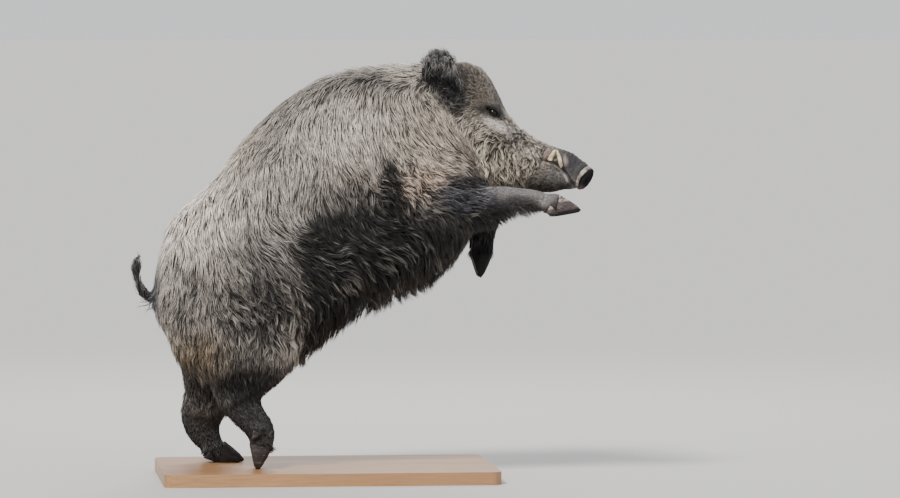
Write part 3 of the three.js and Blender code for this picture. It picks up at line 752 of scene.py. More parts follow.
# Round the ear a painted shadow darkens the fur down to the cheek, and the ear's opening is
# painted darkest, as shade. These are seen along the skull, as the face's patches are.
EAR_SHADOW_PANELS = [
    (
        [(-0.045, 0.028), (-0.013, -0.007), (0.021, -0.019), (0.047, -0.026),
         (0.078, -0.024), (0.088, 0.006), (0.062, 0.035), (0.045, 0.052), (-0.030, 0.048)],
        tone(46, 45, 46), 0.92, 0.010,
    ),
    (
        [(0.014, 0.040), (0.036, 0.040), (0.050, 0.022), (0.034, 0.000), (0.010, 0.018)],
        tone(9, 9, 10), 0.95, 0.008,
    ),
]
FACE_GROUND = tone(138, 130, 120)
FACE_PATCHES = [
    ((0.050, 0.095), (0.085, 0.022), 0, tone(120, 110, 96), 0.85, 1.5),
    ((0.045, 0.060), (0.045, 0.030), 0, tone(68, 64, 61), 0.85, 1.4),
    ((0.092, 0.035), (0.045, 0.030), 0, tone(106, 97, 87), 0.80, 1.4),
    ((0.125, 0.068), (0.050, 0.018), -32, tone(60, 58, 58), 0.90, 1.5),
    ((0.060, -0.030), (0.045, 0.050), 0, tone(112, 106, 102), 0.75, 1.4),
    ((0.125, -0.030), (0.050, 0.025), 0, tone(182, 172, 160), 0.85, 1.4),
    ((0.205, -0.065), (0.090, 0.050), 0, tone(176, 165, 148), 0.90, 1.5),
    ((0.212, -0.004), (0.038, 0.024), 0, tone(84, 78, 75), 0.85, 1.4),
    ((0.276, -0.004), (0.032, 0.026), 0, tone(184, 176, 164), 0.75, 1.4),
    ((0.250, 0.030), (0.050, 0.014), 0, tone(206, 196, 182), 0.88, 1.5),
    ((0.170, 0.000), (0.036, 0.013), 0, tone(224, 215, 207), 0.92, 1.6),
    ((0.118, 0.014), (0.016, 0.010), 0, tone(52, 48, 46), 0.85, 1.5),
    # painted shade behind the cheek, where it meets the neck
    ((0.124, -0.090), (0.018, 0.065), 55, tone(112, 100, 90), 0.65, 1.4),
    ((0.147, 0.026), (0.034, 0.0165), 5, tone(18, 18, 22), 0.97, 2.2),
    ((0.210, -0.105), (0.090, 0.034), 0, tone(238, 225, 205), 0.90, 1.5),
    ((0.160, 0.045), (0.030, 0.012), -25, tone(54, 54, 60), 0.90, 1.6),
    ((0.360, 0.014), (0.040, 0.036), 0, tone(52, 52, 58), 0.95, 2.0),
    ((0.345, -0.034), (0.036, 0.022), 0, tone(112, 109, 107), 0.85, 1.5),
    ((0.330, -0.062), (0.060, 0.020), 20, tone(88, 84, 82), 0.75, 1.4),
    ((0.385, -0.036), (0.012, 0.012), 0, tone(40, 34, 34), 0.90, 1.5),
    ((0.303, -0.005), (0.010, 0.018), 17, tone(134, 112, 102), 0.88, 2.0),
    # painted shade in the groove of the lip behind the tusk
    ((0.289, -0.009), (0.006, 0.018), 30, tone(24, 20, 20), 0.92, 2.0),
    ((0.345, 0.009), (0.005, 0.013), 43, tone(170, 150, 142), 0.75, 2.0),
    ((0.378, 0.004), (0.012, 0.030), -10, tone(66, 64, 66), 0.85, 1.8),
    ((0.366, -0.026), (0.010, 0.003), -42, tone(214, 208, 200), 0.60, 2.0),
]
# Along the middle of the forehead, the bridge and the muzzle it is simpler.
MIDLINE_PATCHES = [
    ((0.050, 0.095), (0.085, 0.030), 0, tone(120, 110, 96), 0.85, 1.5),
    ((0.135, 0.060), (0.045, 0.030), -32, tone(70, 67, 66), 0.90, 1.5),
    ((0.240, 0.030), (0.060, 0.020), 0, tone(196, 187, 174), 0.88, 1.5),
    ((0.360, 0.010), (0.050, 0.050), 0, tone(52, 52, 58), 0.95, 2.0),
    ((0.340, -0.060), (0.060, 0.030), 10, tone(110, 106, 102), 0.85, 1.5),
]


def panel_share(flat, corners, soft):
    """1 inside the outline through the corners and 0 outside, fading over its edge."""
    ring = np.array([*corners, corners[0]])
    off, _ = from_line(flat, ring)
    inside = np.zeros(len(flat), bool)
    for a, b in zip(ring[:-1], ring[1:]):
        level = (a[1] > flat[:, 1]) != (b[1] > flat[:, 1])
        cross = a[0] + (flat[:, 1] - a[1]) / (b[1] - a[1] + 1e-9) * (b[0] - a[0])
        inside ^= level & (flat[:, 0] < cross)
    return smooth_step(np.where(inside, off, -off), -soft, soft)


def laid_over(colours, flat, patches):
    for middle, reach, turn, colour, strength, edge in patches:
        share = strength * patch_share(flat, middle, reach, turn, edge)
        colours = colours + share[:, None] * (np.array(colour) - colours)
    return colours


PART_COLOURS = {
    "ear": (tone(104, 103, 103), 0.9),
    "tail": (tone(64, 63, 64), 0.9),
    "hind_cannon": (tone(34, 34, 37), 0.95),
    # the far hind shank and far foreleg: their own dark coat, deepened by painted shade on the far
    # side
    "shank_left": (tone(38, 37, 37), 0.8),
    "forearm_left": (tone(12, 12, 13), 0.97),
    "fore_cannon_left": (tone(10, 10, 11), 0.97),
    "forearm_right": (tone(124, 124, 130), 0.92),
    "fore_cannon_right": (tone(138, 134, 134), 0.92),
}
# Painted shade darkens the coat round the tail's root.
TAIL_ROOT = (-0.398, 0, 0.440)
TAIL_ROOT_SHADE = np.array(tone(78, 78, 90))
TAIL_ROOT_EDGE = (0.085, 0.025)  # how far off it begins, and is full
# On the reaching foreleg the underside is painted dark as shade, and the upper side keeps its lit
# colour.
SHADED_UNDERSIDE = {"forearm_right": tone(16, 16, 19), "fore_cannon_right": tone(44, 41, 42)}


def markings(points, normals, owner, edges):
    """The coat's colour at each vertex of the skin."""
    flat = points[:, [0, 2]]
    colours = laid_over(np.tile(GROUND, (len(points), 1)), flat, BODY_PATCHES)
    for corners, colour, strength, soft in BODY_PANELS:
        share = strength * panel_share(flat, corners, soft)[:, None]
        colours = colours + share * (np.array(colour) - colours)
    # painted shade round the tail's root
    tail_off = np.linalg.norm(points - TAIL_ROOT, axis=1)[:, None]
    near = smooth_step(tail_off, *TAIL_ROOT_EDGE)
    colours = colours + 0.9 * near * (TAIL_ROOT_SHADE - colours)
    local = in_head(points)
    flat = local[:, [0, 2]]
    faces = laid_over(np.tile(FACE_GROUND, (len(points), 1)), flat, FACE_PATCHES)
    midline = laid_over(np.tile(FACE_GROUND, (len(points), 1)), flat, MIDLINE_PATCHES)
    sides = smooth_step(np.abs(local[:, 1:2]), 0.010, 0.036)
    faces = midline + sides * (faces - midline)
    heads = np.isin(names[owner], HEAD_PARTS)
    colours = np.where(heads[:, None], faces, colours)
    # painted shade: the coat is darker where the skin faces down
    below = smooth_step(-normals[:, 2], 0.35, 0.9)[:, None]
    colours = colours * (1 - 0.55 * below)
    for key, (colour, strength) in PART_COLOURS.items():
        chosen = np.char.startswith(names[owner], key)[:, None].astype(float)
        chosen = relaxed(chosen, edges, 4 if key == "ear" else 16)
        target = np.array(colour)
        # painted shade under the leg, its lit colour on top
        if key in SHADED_UNDERSIDE:
            lit = smooth_step(normals[:, 2:], -0.10, 0.45)
            target = np.array(SHADED_UNDERSIDE[key]) * (1 - lit) + target * lit
        if key in REACHING_ARM:
            strength = strength * smooth_step(points[:, :1], *SLEEVE)
        colours = colours + chosen * strength * (target - colours)
    # painted shadow round the ear, and painted shade in its opening
    for corners, colour, strength, soft in EAR_SHADOW_PANELS:
        share = strength * panel_share(flat, corners, soft)[:, None]
        colours = colours + share * (np.array(colour) - colours)
    return relaxed(colours, edges, 2)


# ---------------------------------------------------------------- lie of the coat
# The way the hair lies, from root to tip: a few leading strokes seen from the side,
# each a place and a direction, between which the coat turns smoothly.
STROKES = [
    ((-0.40, 0.57), (-0.25, -1.0)),
    ((-0.38, 0.49), (-0.30, -1.0)),
    ((-0.29, 0.58), (0.00, -1.0)),
    ((-0.29, 0.46), (0.08, -1.0)),
    ((-0.22, 0.53), (0.45, -0.9)),
    ((-0.18, 0.59), (0.35, -1.0)),
    ((-0.12, 0.57), (0.90, -0.4)),
    ((-0.06, 0.56), (1.00, -0.05)),
    ((-0.20, 0.74), (-0.35, -1.0)),
    ((-0.24, 0.69), (-0.30, -1.0)),
    ((-0.13, 0.85), (-0.60, -0.8)),
    ((-0.06, 0.91), (-0.75, -0.6)),
    ((-0.06, 0.77), (0.15, -1.0)),
    ((-0.13, 0.67), (0.15, -1.0)),
    ((0.01, 0.84), (0.10, -1.0)),
    ((0.06, 0.74), (0.40, -0.9)),
    ((-0.06, 0.65), (0.10, -1.0)),
    ((-0.01, 0.61), (0.40, -0.9)),
    ((0.05, 0.61), (0.60, -0.8)),
    ((0.13, 0.56), (0.95, 0.0)),
    ((0.04, 0.53), (1.00, 0.05)),
    ((-0.06, 0.47), (0.80, -0.5)),
    ((-0.15, 0.44), (0.50, -0.8)),
    ((-0.22, 0.39), (0.30, -0.95)),
    ((-0.32, 0.37), (0.05, -1.0)),
    ((-0.36, 0.32), (0.00, -1.0)),
    ((-0.18, 0.30), (-0.20, -1.0)),
    ((-0.08, 0.32), (0.20, -1.0)),
    ((0.04, 0.39), (0.20, -1.0)),
    ((0.13, 0.45), (0.45, -0.9)),
    ((0.22, 0.50), (0.45, -0.9)),
    ((0.29, 0.54), (0.40, -0.9)),
    ((0.08, 0.96), (-0.95, -0.2)),
    ((0.18, 0.96), (-0.95, 0.0)),
    ((0.10, 0.89), (0.00, -0.9)),
    ((0.18, 0.86), (0.30, -0.95)),
    ((0.25, 0.84), (0.65, -0.75)),
    ((0.28, 0.78), (0.75, -0.65)),
    ((0.20, 0.77), (0.35, -0.95)),
    ((0.13, 0.77), (0.20, -1.0)),
    ((0.18, 0.70), (0.50, -0.85)),
    ((0.25, 0.70), (1.00, -0.1)),
    ((0.25, 0.73), (0.80, -0.5)),
    ((0.32, 0.73), (0.90, -0.3)),
    ((0.25, 0.63), (0.85, -0.35)),
    ((0.39, 0.59), (0.45, -0.9)),
    ((0.32, 0.59), (0.50, -0.85)),
]
# On the head the same, in the skull's own frame.
FACE_STROKES = [
    ((0.360, 0.015), (-1.00, 0.12)),
    ((0.330, 0.030), (-1.00, 0.15)),
    ((0.250, 0.030), (-1.00, 0.05)),
    ((0.170, 0.045), (-0.95, 0.35)),
    ((0.130, 0.068), (-0.90, 0.45)),
    ((0.050, 0.095), (-0.85, 0.45)),
    ((0.060, 0.060), (-0.80, -0.20)),
    ((0.090, 0.035), (-0.70, -0.60)),
    ((0.148, 0.020), (-1.00, -0.15)),
    ((0.170, -0.002), (-0.80, -0.55)),
    ((0.120, -0.030), (-0.25, -1.00)),
    ((0.210, -0.005), (-0.10, -1.00)),
    ((0.210, -0.060), (0.62, -0.78)),
    ((0.160, -0.100), (0.65, -0.75)),
    ((0.250, -0.090), (0.75, -0.65)),
    ((0.280, -0.010), (0.70, -0.70)),
    ((0.300, 0.000), (-0.60, -0.70)),
    ((0.345, -0.035), (-0.90, -0.35)),
    ((0.330, -0.070), (-0.80, -0.50)),
]
LEG_WAYS = {
    "forearm_right": (1.0, 0.0, -0.08),
    "fore_cannon_right": (1.0, 0.0, -0.12),
    "upper_arm_right": (0.7, 0.0, -0.7),
    "upper_arm_left": (0.5, 0.0, -0.85),
    "forearm_left": (0.9, 0.0, -0.4),
    "fore_cannon_left": (-0.1, 0.0, -1.0),
    "hind_cannon_right": (0.5, 0.0, -0.85),
    "hind_cannon_left": (0.15, 0.0, -1.0),
    "shank_left": (0.1, 0.0, -1.0),
    "shank_right": (0.0, 0.0, -1.0),
    "tail": (-0.1, 0.0, 1.0),
}
EAR_WAYS = {"ear_right": (-0.68, -0.1, 0.72), "ear_left": (-0.88, 0.33, 0.30)}
STRAY = 0.16  # how far, in radians, whole swathes of hair stray from the strokes


def combed(flat, strokes, softness):
    """The direction at each point between the strokes, seen from the side."""
    total = np.zeros((len(flat), 3))
    for (x, z), (way_x, way_z) in strokes:
        far = (flat[:, 0] - x) ** 2 + (flat[:, 1] - z) ** 2
        total += (1 / (far + softness ** 2) ** 2)[:, None] * np.array([way_x, 0, way_z])
    return unit(total)


def swathes(edges, size, rounds):
    """A smooth random value at each vertex, about -1 to 1, as wide as the rounds make it."""
    wild = relaxed(luck.normal(0, 1, (size, 1)), edges, rounds)[:, 0]
    return wild / wild.std()


def lie_of(points, normals, owner, edges):
    """The direction in which the hair lies at each vertex, along the skin."""
    way = combed(points[:, [0, 2]], STROKES, 0.02)
    heads = np.isin(names[owner], HEAD_PARTS)[:, None]
    face_way = combed(in_head(points)[:, [0, 2]], FACE_STROKES, 0.012) @ HEAD_TURN.T
    way = np.where(heads, face_way, way)
    for name, leg_way in LEG_WAYS.items():
        way = np.where((names[owner] == name)[:, None], leg_way, way)
    for name, ear_way in EAR_WAYS.items():
        world_way = HEAD_TURN @ np.array(ear_way)
        way = np.where((names[owner] == name)[:, None], world_way, way)
    upward = np.clip(normals[:, 2], 0, 1)
    spread = np.clip(points[:, 1] / 0.05, -1, 1) * upward * 0.7
    body = ~np.isin(names[owner], [*FACE_PARTS, *LEG_WAYS])
    way[:, 1] += np.where(body, spread, 0)
    way = unit(relaxed(unit(way), edges, 14))
    way = unit(way - normals * np.sum(way * normals, 1, keepdims=True))
    long_hair = np.clip((coat[:, LENGTH] - 0.008) / 0.03, 0, 1)
    turn = (swathes(edges, len(points), 40) * STRAY * long_hair)[:, None]
    return way * np.cos(turn) + np.cross(normals, way) * np.sin(turn)


luck = np.random.default_rng(11)
edges = read_edges(hide)
points = read_points(hide)
normals = unit(read_points(hide, normals=True))
owner = nearest_node(points)
coat = relaxed(coat_of(points, normals, owner), edges, 6)
lie = lie_of(points, normals, owner, edges)
colours = markings(points, normals, owner, edges)


# ---------------------------------------------------------------- skin finish
# Where the hair is long the hide is a dark ground for it: its own dark, deepened by painted
# shade under the coat. Where it is short the fur is also worked into the hide's own surface,
# as fine lines that run with its lie.
def give(mesh, name, kind, values):
    """A named attribute on the mesh's vertices."""
    layer = mesh.attributes.new(name, kind, "POINT")
    field = {"FLOAT": "value", "FLOAT_COLOR": "color", "FLOAT_VECTOR": "vector"}[kind]
    if kind == "FLOAT_COLOR":
        values = np.hstack([values, np.ones((len(values), 1))])
    layer.data.foreach_set(field, np.ascontiguousarray(values, np.float32).ravel())


def combed_places(points, lie, owner):
    """Places drawn together along each part's main lie, so that a pattern runs with it."""
    places = points.copy()
    for i in range(len(FLESH)):
        chosen = owner == i
        main = unit(lie[chosen].mean(0, keepdims=True))[0]
        places[chosen] -= 0.86 * (points[chosen] @ main)[:, None] * main
    return places


def bald(points, owner):
    """1 where no hair grows: round the eyes, in the mouth, on the nose. 0 elsewhere."""
    local = in_head(points)
    none = np.zeros(len(points))
    for centre, outward, forward, upward in EYES.values():
        away = local - centre
        almond, _, _ = almond_at(away, forward, upward)
        rim = 1 - smooth_step(almond, 1.30, 1.60)
        none = np.maximum(none, rim * (away @ outward > -0.02))
    off, along = from_line(local[:, [0, 2]], MOUTH)
    heads = np.isin(names[owner], HEAD_PARTS)
    none = np.maximum(none, (1 - smooth_step(off, 0.003, 0.006)) * (along < 0.5) * heads)
    for line, _, breadth in LIP_FOLDS:
        off, _ = from_line(local[:, [0, 2]], np.array(line))
        none = np.maximum(none, (1 - smooth_step(off, breadth, breadth * 1.6)) * heads)
    return np.maximum(none, smooth_step(nose_ahead(local), -0.008, -0.004) * heads)


short_fur = 1 - smooth_step(coat[:, LENGTH], 0.012, 0.030)
none = bald(points, owner)
# the hide under long hair is painted dark, partly as shade under the coat
under = 0.18 + 0.66 * short_fur
give(hide, "tone", "FLOAT_COLOR", colours * under[:, None])
give(hide, "combed", "FLOAT_VECTOR", combed_places(points, lie, owner))
give(hide, "bald", "FLOAT", none[:, None])


def skin_finish():
    finish = Finish("skin", Specular_IOR_Level=0.3)
    colour = finish.attribute("tone")
    combed_at = finish.attribute("combed", output=1)
    bald_part = finish.attribute("bald", output=2)
    hairs = finish.noise(combed_at, 900, 3, 0.65)
    locks = finish.noise(combed_at, 260, 3, 0.6)
    pores = finish.noise(finish.place(), 300, 5, 0.8)
    furred = hairs * 0.6 + locks * 0.4
    gain = furred.within(0.36, 0.66) + 0.5
    gain = gain + (pores.within(0.35, 0.65) * 0.5 + 0.55 - gain) * bald_part
    height = furred + (pores * 0.9 - furred) * bald_part
    finish.set(
        Base_Color=finish.scaled(colour, gain),
        Roughness=hairs * 0.2 + 0.55,
        Normal=finish.bump(height, 0.0014, 0.9),
    )
    return finish.material


wear(skin, skin_finish())
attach(skin, "root")
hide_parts(*FLESH)

# ---------------------------------------------------------------- eyes
# Small dark brown balls, wet, with a bulging cornea and a wide level pupil.
def eyeball(name):
    centre, outward, forward, upward = EYES[name]
    axes = HEAD_TURN @ np.stack([forward, upward, outward], 1)
    middle = out_of_head(centre[None])[0]
    ball = bmesh.new()
    bmesh.ops.create_uvsphere(ball, u_segments=40, v_segments=28, radius=1)
    for vertex in ball.verts:
        x, y, z = vertex.co
        cornea = 1 + 0.07 * math.exp(-((x * x + y * y) / 0.22)) * (z > 0)
        place = np.array([x, y, z]) * EYE_RADIUS * cornea
        vertex.co = Vector(middle + axes @ place)
    bmesh.ops.recalc_face_normals(ball, faces=ball.faces)
    mesh = bpy.data.meshes.new(name)
    ball.to_mesh(mesh)
    ball.free()
    mesh.shade_smooth()
    flat = (read_points(mesh) - middle) @ axes / EYE_RADIUS
    give(mesh, "look", "FLOAT_VECTOR", flat)
    thing = bpy.data.objects.new(name + "_ball", mesh)
    bpy.context.scene.collection.objects.link(thing)
    return thing


def eye_finish():
    finish = Finish("wet_eye", IOR=1.34, Specular_IOR_Level=0.35, Coat_Weight=0.15)
    look = finish.attribute("look", output=1)
    wide = finish.node("Mapping", {}, {"Vector": look, "Scale": (0.62, 1.15, 0)})
    far = finish.node("VectorMath", {"operation": "LENGTH"}, {0: wide}, output=1)
    round_far = finish.node("Mapping", {}, {"Vector": look, "Scale": (1, 1, 0)})
    rim = finish.node("VectorMath", {"operation": "LENGTH"}, {0: round_far}, output=1)
    streaks = finish.noise(look, 9, 4, 0.7)
    iris = finish.mix(streaks, tone(26, 17, 12), tone(12, 9, 8))
    inner = finish.mix(far.within(0.30, 0.40), (0.002, 0.002, 0.002), iris)
    whole = finish.mix(rim.within(0.66, 0.8), inner, tone(24, 18, 16))
    finish.set(Base_Color=whole, Roughness=streaks * 0.03 + 0.04)
    return finish.material


wet_eye = eye_finish()
for name in EYES:
    ball = eyeball(name)
    wear(ball, wet_eye)
    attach(ball, "root")
    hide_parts(name)

# ---------------------------------------------------------------- tusks, hooves and nose
# Horn and ivory: each takes its solid's shape with the facets smoothed away. On the fore
# foot that reaches ahead the sole is painted darkest, as shade, and the top is scraped pale.
def smoothed_copy(name, grid, rounds, rounding=0):
    """The node's own shape, refined, rounded and evened, as a new object."""
    mesh = solid_copy([name], grid * 0.25, grid)
    net = read_edges(mesh)
    points = relaxed(read_points(mesh), net, rounding)
    write_points(mesh, evened(points, net, rounds))
    mesh.name = name
    mesh.shade_smooth()
    thing = bpy.data.objects.new(name + "_shape", mesh)
    bpy.context.scene.collection.objects.link(thing)
    return thing


def tusk_finish():
    finish = Finish("ivory", Specular_IOR_Level=0.5)
    stain = finish.noise(finish.place(), 60, 3)
    lines = finish.noise(finish.place((1, 1, 6)), 220, 2)
    base = finish.mix(stain.within(0.35, 0.7), tone(226, 214, 184), tone(170, 146, 108))
    base = finish.mix(lines.within(0.5, 0.75) * 0.4, base, tone(120, 98, 68))
    finish.set(Base_Color=base, Roughness=stain * 0.2 + 0.22, Normal=finish.bump(lines, 0.0003))
    return finish.material


def horn_finish(name, horn_tone, deep, scratched):
    finish = Finish(name, Specular_IOR_Level=0.15 + 0.3 * scratched)
    growth = finish.noise(finish.place((1, 1, 5)), 120, 3)
    worn = finish.noise(finish.place(), 45, 4, 0.6)
    scratch = finish.noise(finish.place((1, 1, 4)), 60, 4, 0.75)
    above = finish.attribute("above", output=2)
    base = finish.mix(growth.within(0.35, 0.7), tone(*horn_tone), tone(*deep))
    pale = (worn.within(0.48, 0.66) * 0.6 + scratch.within(0.54, 0.66)) * scratched
    pale = pale + above.within(0.024, 0.040) * scratch.within(0.42, 0.56)
    base = finish.mix(pale.within(0.0, 1.4), base, tone(178, 166, 156))
    # painted shade on the sole of the reaching fore foot
    base = finish.mix(above.within(0.012, 0.007), base, tone(14, 12, 13))
    finish.set(
        Base_Color=base,
        Roughness=worn * 0.3 + 0.45,
        Normal=finish.bump(growth + worn * 0.5, 0.0010, 0.8),
    )
    return finish.material


ivory = tusk_finish()
HORNS = {
    "fore_right": horn_finish("lifted_horn", (74, 64, 62), (44, 38, 38), 0.36),
    "hind_right": horn_finish("muddy_horn", (50, 44, 42), (28, 25, 25), 0.35),
    "hind_left": horn_finish("dark_horn", (36, 33, 32), (20, 18, 18), 0.15),
    "fore_left": horn_finish("black_horn", (18, 17, 17), (10, 10, 10), 0.05),
}
for name in sorted(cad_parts):
    if name.startswith("tusk_"):
        piece, material, slot = smoothed_copy(name, 0.0009, 14), ivory, "tusk"
    elif name.startswith(("hoof_", "dewclaw_")):
        horn = next(HORNS[foot] for foot in HORNS if foot in name)
        piece, material, slot = smoothed_copy(name, 0.0016, 8, 6), horn, "hoof"
        x, _, z = read_points(piece.data).T
        above = np.full(len(x), 0.02)
        # the height over the sole, below which the horn is painted dark as shade
        if "fore_right" in name:
            above = z - 0.616 - (x - 0.522) * 0.19 + 0.014 * name.startswith("dewclaw_")
        give(piece.data, "above", "FLOAT", above[:, None])
    else:
        continue
    wear(piece, material)
    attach(piece, "root")
    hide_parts(name)


def nose_finish():
    """Dark in front, as painted shade on the disc's face, and pale on the flared rim, as painted
    light, with blotches and pores.
    """
    finish = Finish("nose_gristle", Specular_IOR_Level=0.15)
    look = finish.attribute("look", output=1)
    axes = finish.node("SeparateXYZ", {}, {0: look})
    height = finish.node("SeparateXYZ", {}, {0: look}, output=2)
    pores = finish.node(
        "TexVoronoi", {"feature": "DISTANCE_TO_EDGE"}, {"Vector": finish.place(), "Scale": 520}
    )
    blotch = finish.noise(finish.place(), 75, 3)
    shaded_front = (axes + blotch * 0.3 - height.within(0.0, 1.0) * 0.25).within(0.40, 0.80)
    flat = finish.node("Mapping", {}, {"Vector": look, "Scale": (0, 1, 1)})
    middle = finish.node("VectorMath", {"operation": "LENGTH"}, {0: flat}, output=1)
    shaded_front = shaded_front + (1 - shaded_front) * middle.within(0.82, 0.70)
    # painted light on the rim and painted shade on the disc's face
    rim = finish.mix(blotch.within(0.35, 0.65), tone(190, 179, 170), tone(112, 102, 98))
    face = finish.mix(blotch.within(0.3, 0.7), tone(20, 18, 19), tone(10, 9, 10))
    lower = finish.mix(height.within(-0.45, -0.9) * 0.6, face, tone(120, 92, 84))
    base = finish.mix(shaded_front, rim, lower)
    base = finish.mix(pores.within(0.10, 0.0) * 0.25, base, tone(44, 38, 38))
    finish.set(
        Base_Color=base,
        Roughness=blotch * 0.2 + 0.62,
        Normal=finish.bump(pores.within(0, 0.12) + blotch, 0.0007, 0.9),
    )
    return finish.material


nose = smoothed_copy("nose_disc", 0.0013, 10)
nose_own = (in_head(read_points(nose.data)) - NOSE_MIDDLE) @ NOSE_TURN
nose_half = (nose_own.max(0) - nose_own.min(0)) / 2
look = (nose_own - nose_own.min(0)) / nose_half - 1
give(nose.data, "look", "FLOAT_VECTOR", look)
out = np.hypot(look[:, 1], look[:, 2])  # 0 in the middle of the disc, 1 on its rim
angle = np.arctan2(look[:, 2], look[:, 1])
dish = 0.0016 * np.exp(-((out - 0.84) / 0.12) ** 2) - 0.0040 * smooth_step(out, 0.80, 0.25)
nose_own[:, 0] += dish * smooth_step(look[:, 0], -0.2, 0.6)
wrinkles = 0.012 * np.sin(angle * 17 + 2.4 * np.sin(angle * 3) + look[:, 0] * 3)
nose_own[:, 1:] *= 1 + (wrinkles * smooth_step(out, 0.75, 0.95))[:, None]
write_points(nose.data, out_of_head(nose_own @ NOSE_TURN.T + NOSE_MIDDLE))
wear(nose, nose_finish())
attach(nose, "root")
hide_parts("nose_disc")

# ---------------------------------------------------------------- coat
# Bristles in thin tapered locks, rooted in the skin. They follow its lie, gather a little
# and overlap like thatch. Each lock is a closed wedge that ends in a point.
LONG_LOCKS = 56000
SHORT_LOCKS = 40000
CURLY_LOCKS = 6400
LONG_FROM = 0.026  # locks longer than this are coat, shorter ones are fur
CURLY_FROM = 0.0026  # and on the face those that wave more than this are curls
LOCKS_PER_GATHERING = 6
COLOUR_FROM = 0.4  # the part of its length where a lock takes up the coat's colour
OVER_HOOF = 0.016  # locks this near to a hoof run straight on over it
TURNS = 6.2  # how far, in radians, the waves of a lock run on from root to tip
PATCH = 0.003  # each lock's spot on the skin's layout
ROOT_DEPTH = 0.0012
LOWEST_ROOT = 0.034  # no hair grows below this height, just over the base's top

surface = BVHTree.FromPolygons(
    [tuple(p) for p in points], [tuple(t.vertices) for t in hide.polygons]
)
corners = np.array([tuple(t.vertices) for t in hide.polygons])
face_point = points[corners].mean(1)
face_normal = unit(normals[corners].mean(1))
face_lie = unit(lie[corners].mean(1))
face_colour = colours[corners].mean(1)
layout = np.empty(len(hide.loops) * 2)
hide.uv_layers["OFBake"].uv.foreach_get("vector", layout)
layout = layout.reshape(-1, 3, 2)


def face_areas():
    a, b, c = (points[corners[:, i]] for i in range(3))
    return np.linalg.norm(np.cross(b - a, c - a), axis=1) / 2


class Roots:
    """Places on the skin where locks grow, with what the coat is like there."""

    def __init__(self, weight, count):
        share = np.cumsum(weight)
        steps = (np.arange(count) + luck.random(count)) / count * share[-1]
        face = np.searchsorted(share, steps).clip(0, len(weight) - 1)
        a, b = luck.random(count), luck.random(count)
        over = a + b > 1
        a, b = np.where(over, 1 - a, a), np.where(over, 1 - b, b)
        mix = np.stack([1 - a - b, a, b], 1)

        def at(values):
            return np.einsum("ij,ijk->ik", mix, values[corners[face]])

        self.place = at(points)
        self.normal = unit(at(normals))
        self.lie = unit(at(lie))
        self.colour = at(colours)
        self.coat = at(coat)
        self.spot = np.einsum("ij,ijk->ik", mix, layout[face])


def spines(roots, stations, length, lift):
    """The middle line of each lock, from the root to the tip. It takes its colour from
    where it comes to lie on the skin, past its root."""
    turn = (luck.normal(0, 1, len(length)) * roots.coat[:, WILD])[:, None]
    under = np.clip(-roots.normal[:, 2], 0, 1)
    droop = (roots.coat[:, DROOP] * (1 + 2.2 * under))[:, None]
    lift = lift[:, None]
    place, normal, way = roots.place, roots.normal, roots.lie
    straight = (nearest_hoof.distance(place) < OVER_HOOF)[:, None]
    rows = [place - normal * ROOT_DEPTH]
    for last, now in zip(stations[:-1], stations[1:]):
        heading = way * np.cos(turn) + np.cross(normal, way) * np.sin(turn)
        step = heading + normal * lift * (1.5 - 1.2 * now) + droop * now * np.array([0, 0, -1.0])
        place = place + unit(step) * ((now - last) * length)[:, None]
        face = [surface.find_nearest(p)[2] for p in place]
        normal = np.where(straight, normal, face_normal[face])
        way = np.where(straight, way, face_lie[face])
        if last < COLOUR_FROM <= now:
            roots.colour = face_colour[face]
        out = ((place - face_point[face]) * normal).sum(1)
        least = 0.4 * roots.coat[:, WIDTH] + 0.07 * now * length
        place = place + normal * np.where(straight[:, 0], 0, np.maximum(least - out, 0))[:, None]
        rows.append(place)
    return np.stack(rows, 1)


class Gatherings:
    """Guide locks, which draw the locks that grow round them towards their own line."""

    def __init__(self, weight, count, stations):
        self.stations = stations
        self.roots = Roots(weight, count)
        length = self.roots.coat[:, LENGTH] * luck.uniform(0.85, 1.15, count)
        lift = self.roots.coat[:, LIFT] * luck.uniform(0.6, 1.5, count)
        self.rows = spines(self.roots, stations, length, lift)
        self.side = np.cross(self.roots.normal, self.roots.lie)
        self.phase = luck.uniform(0, 2 * math.pi, count)
        self.shade = luck.random(count)
        self.tree = KDTree(count)
        for i, place in enumerate(self.roots.place):
            self.tree.insert(place, i)
        self.tree.balance()

    def draw(self, rows, roots):
        """The rows drawn together and waved, and the shade that they share."""
        chosen = np.array([self.tree.find(p)[1] for p in roots.place])
        spread = roots.place - self.roots.place[chosen]
        gather = roots.coat[:, GATHER, None]
        out = rows.copy()
        for k, s in enumerate(self.stations):
            target = self.rows[chosen, k] + spread * (1 - gather * s ** 0.8)
            out[:, k] += gather * min(1, s * 1.6) * (target - rows[:, k])
            bend = roots.coat[:, WAVE] * np.sin(self.phase[chosen] + TURNS * s) * s
            out[:, k] += self.side[chosen] * bend[:, None]
        return out, self.shade[chosen]


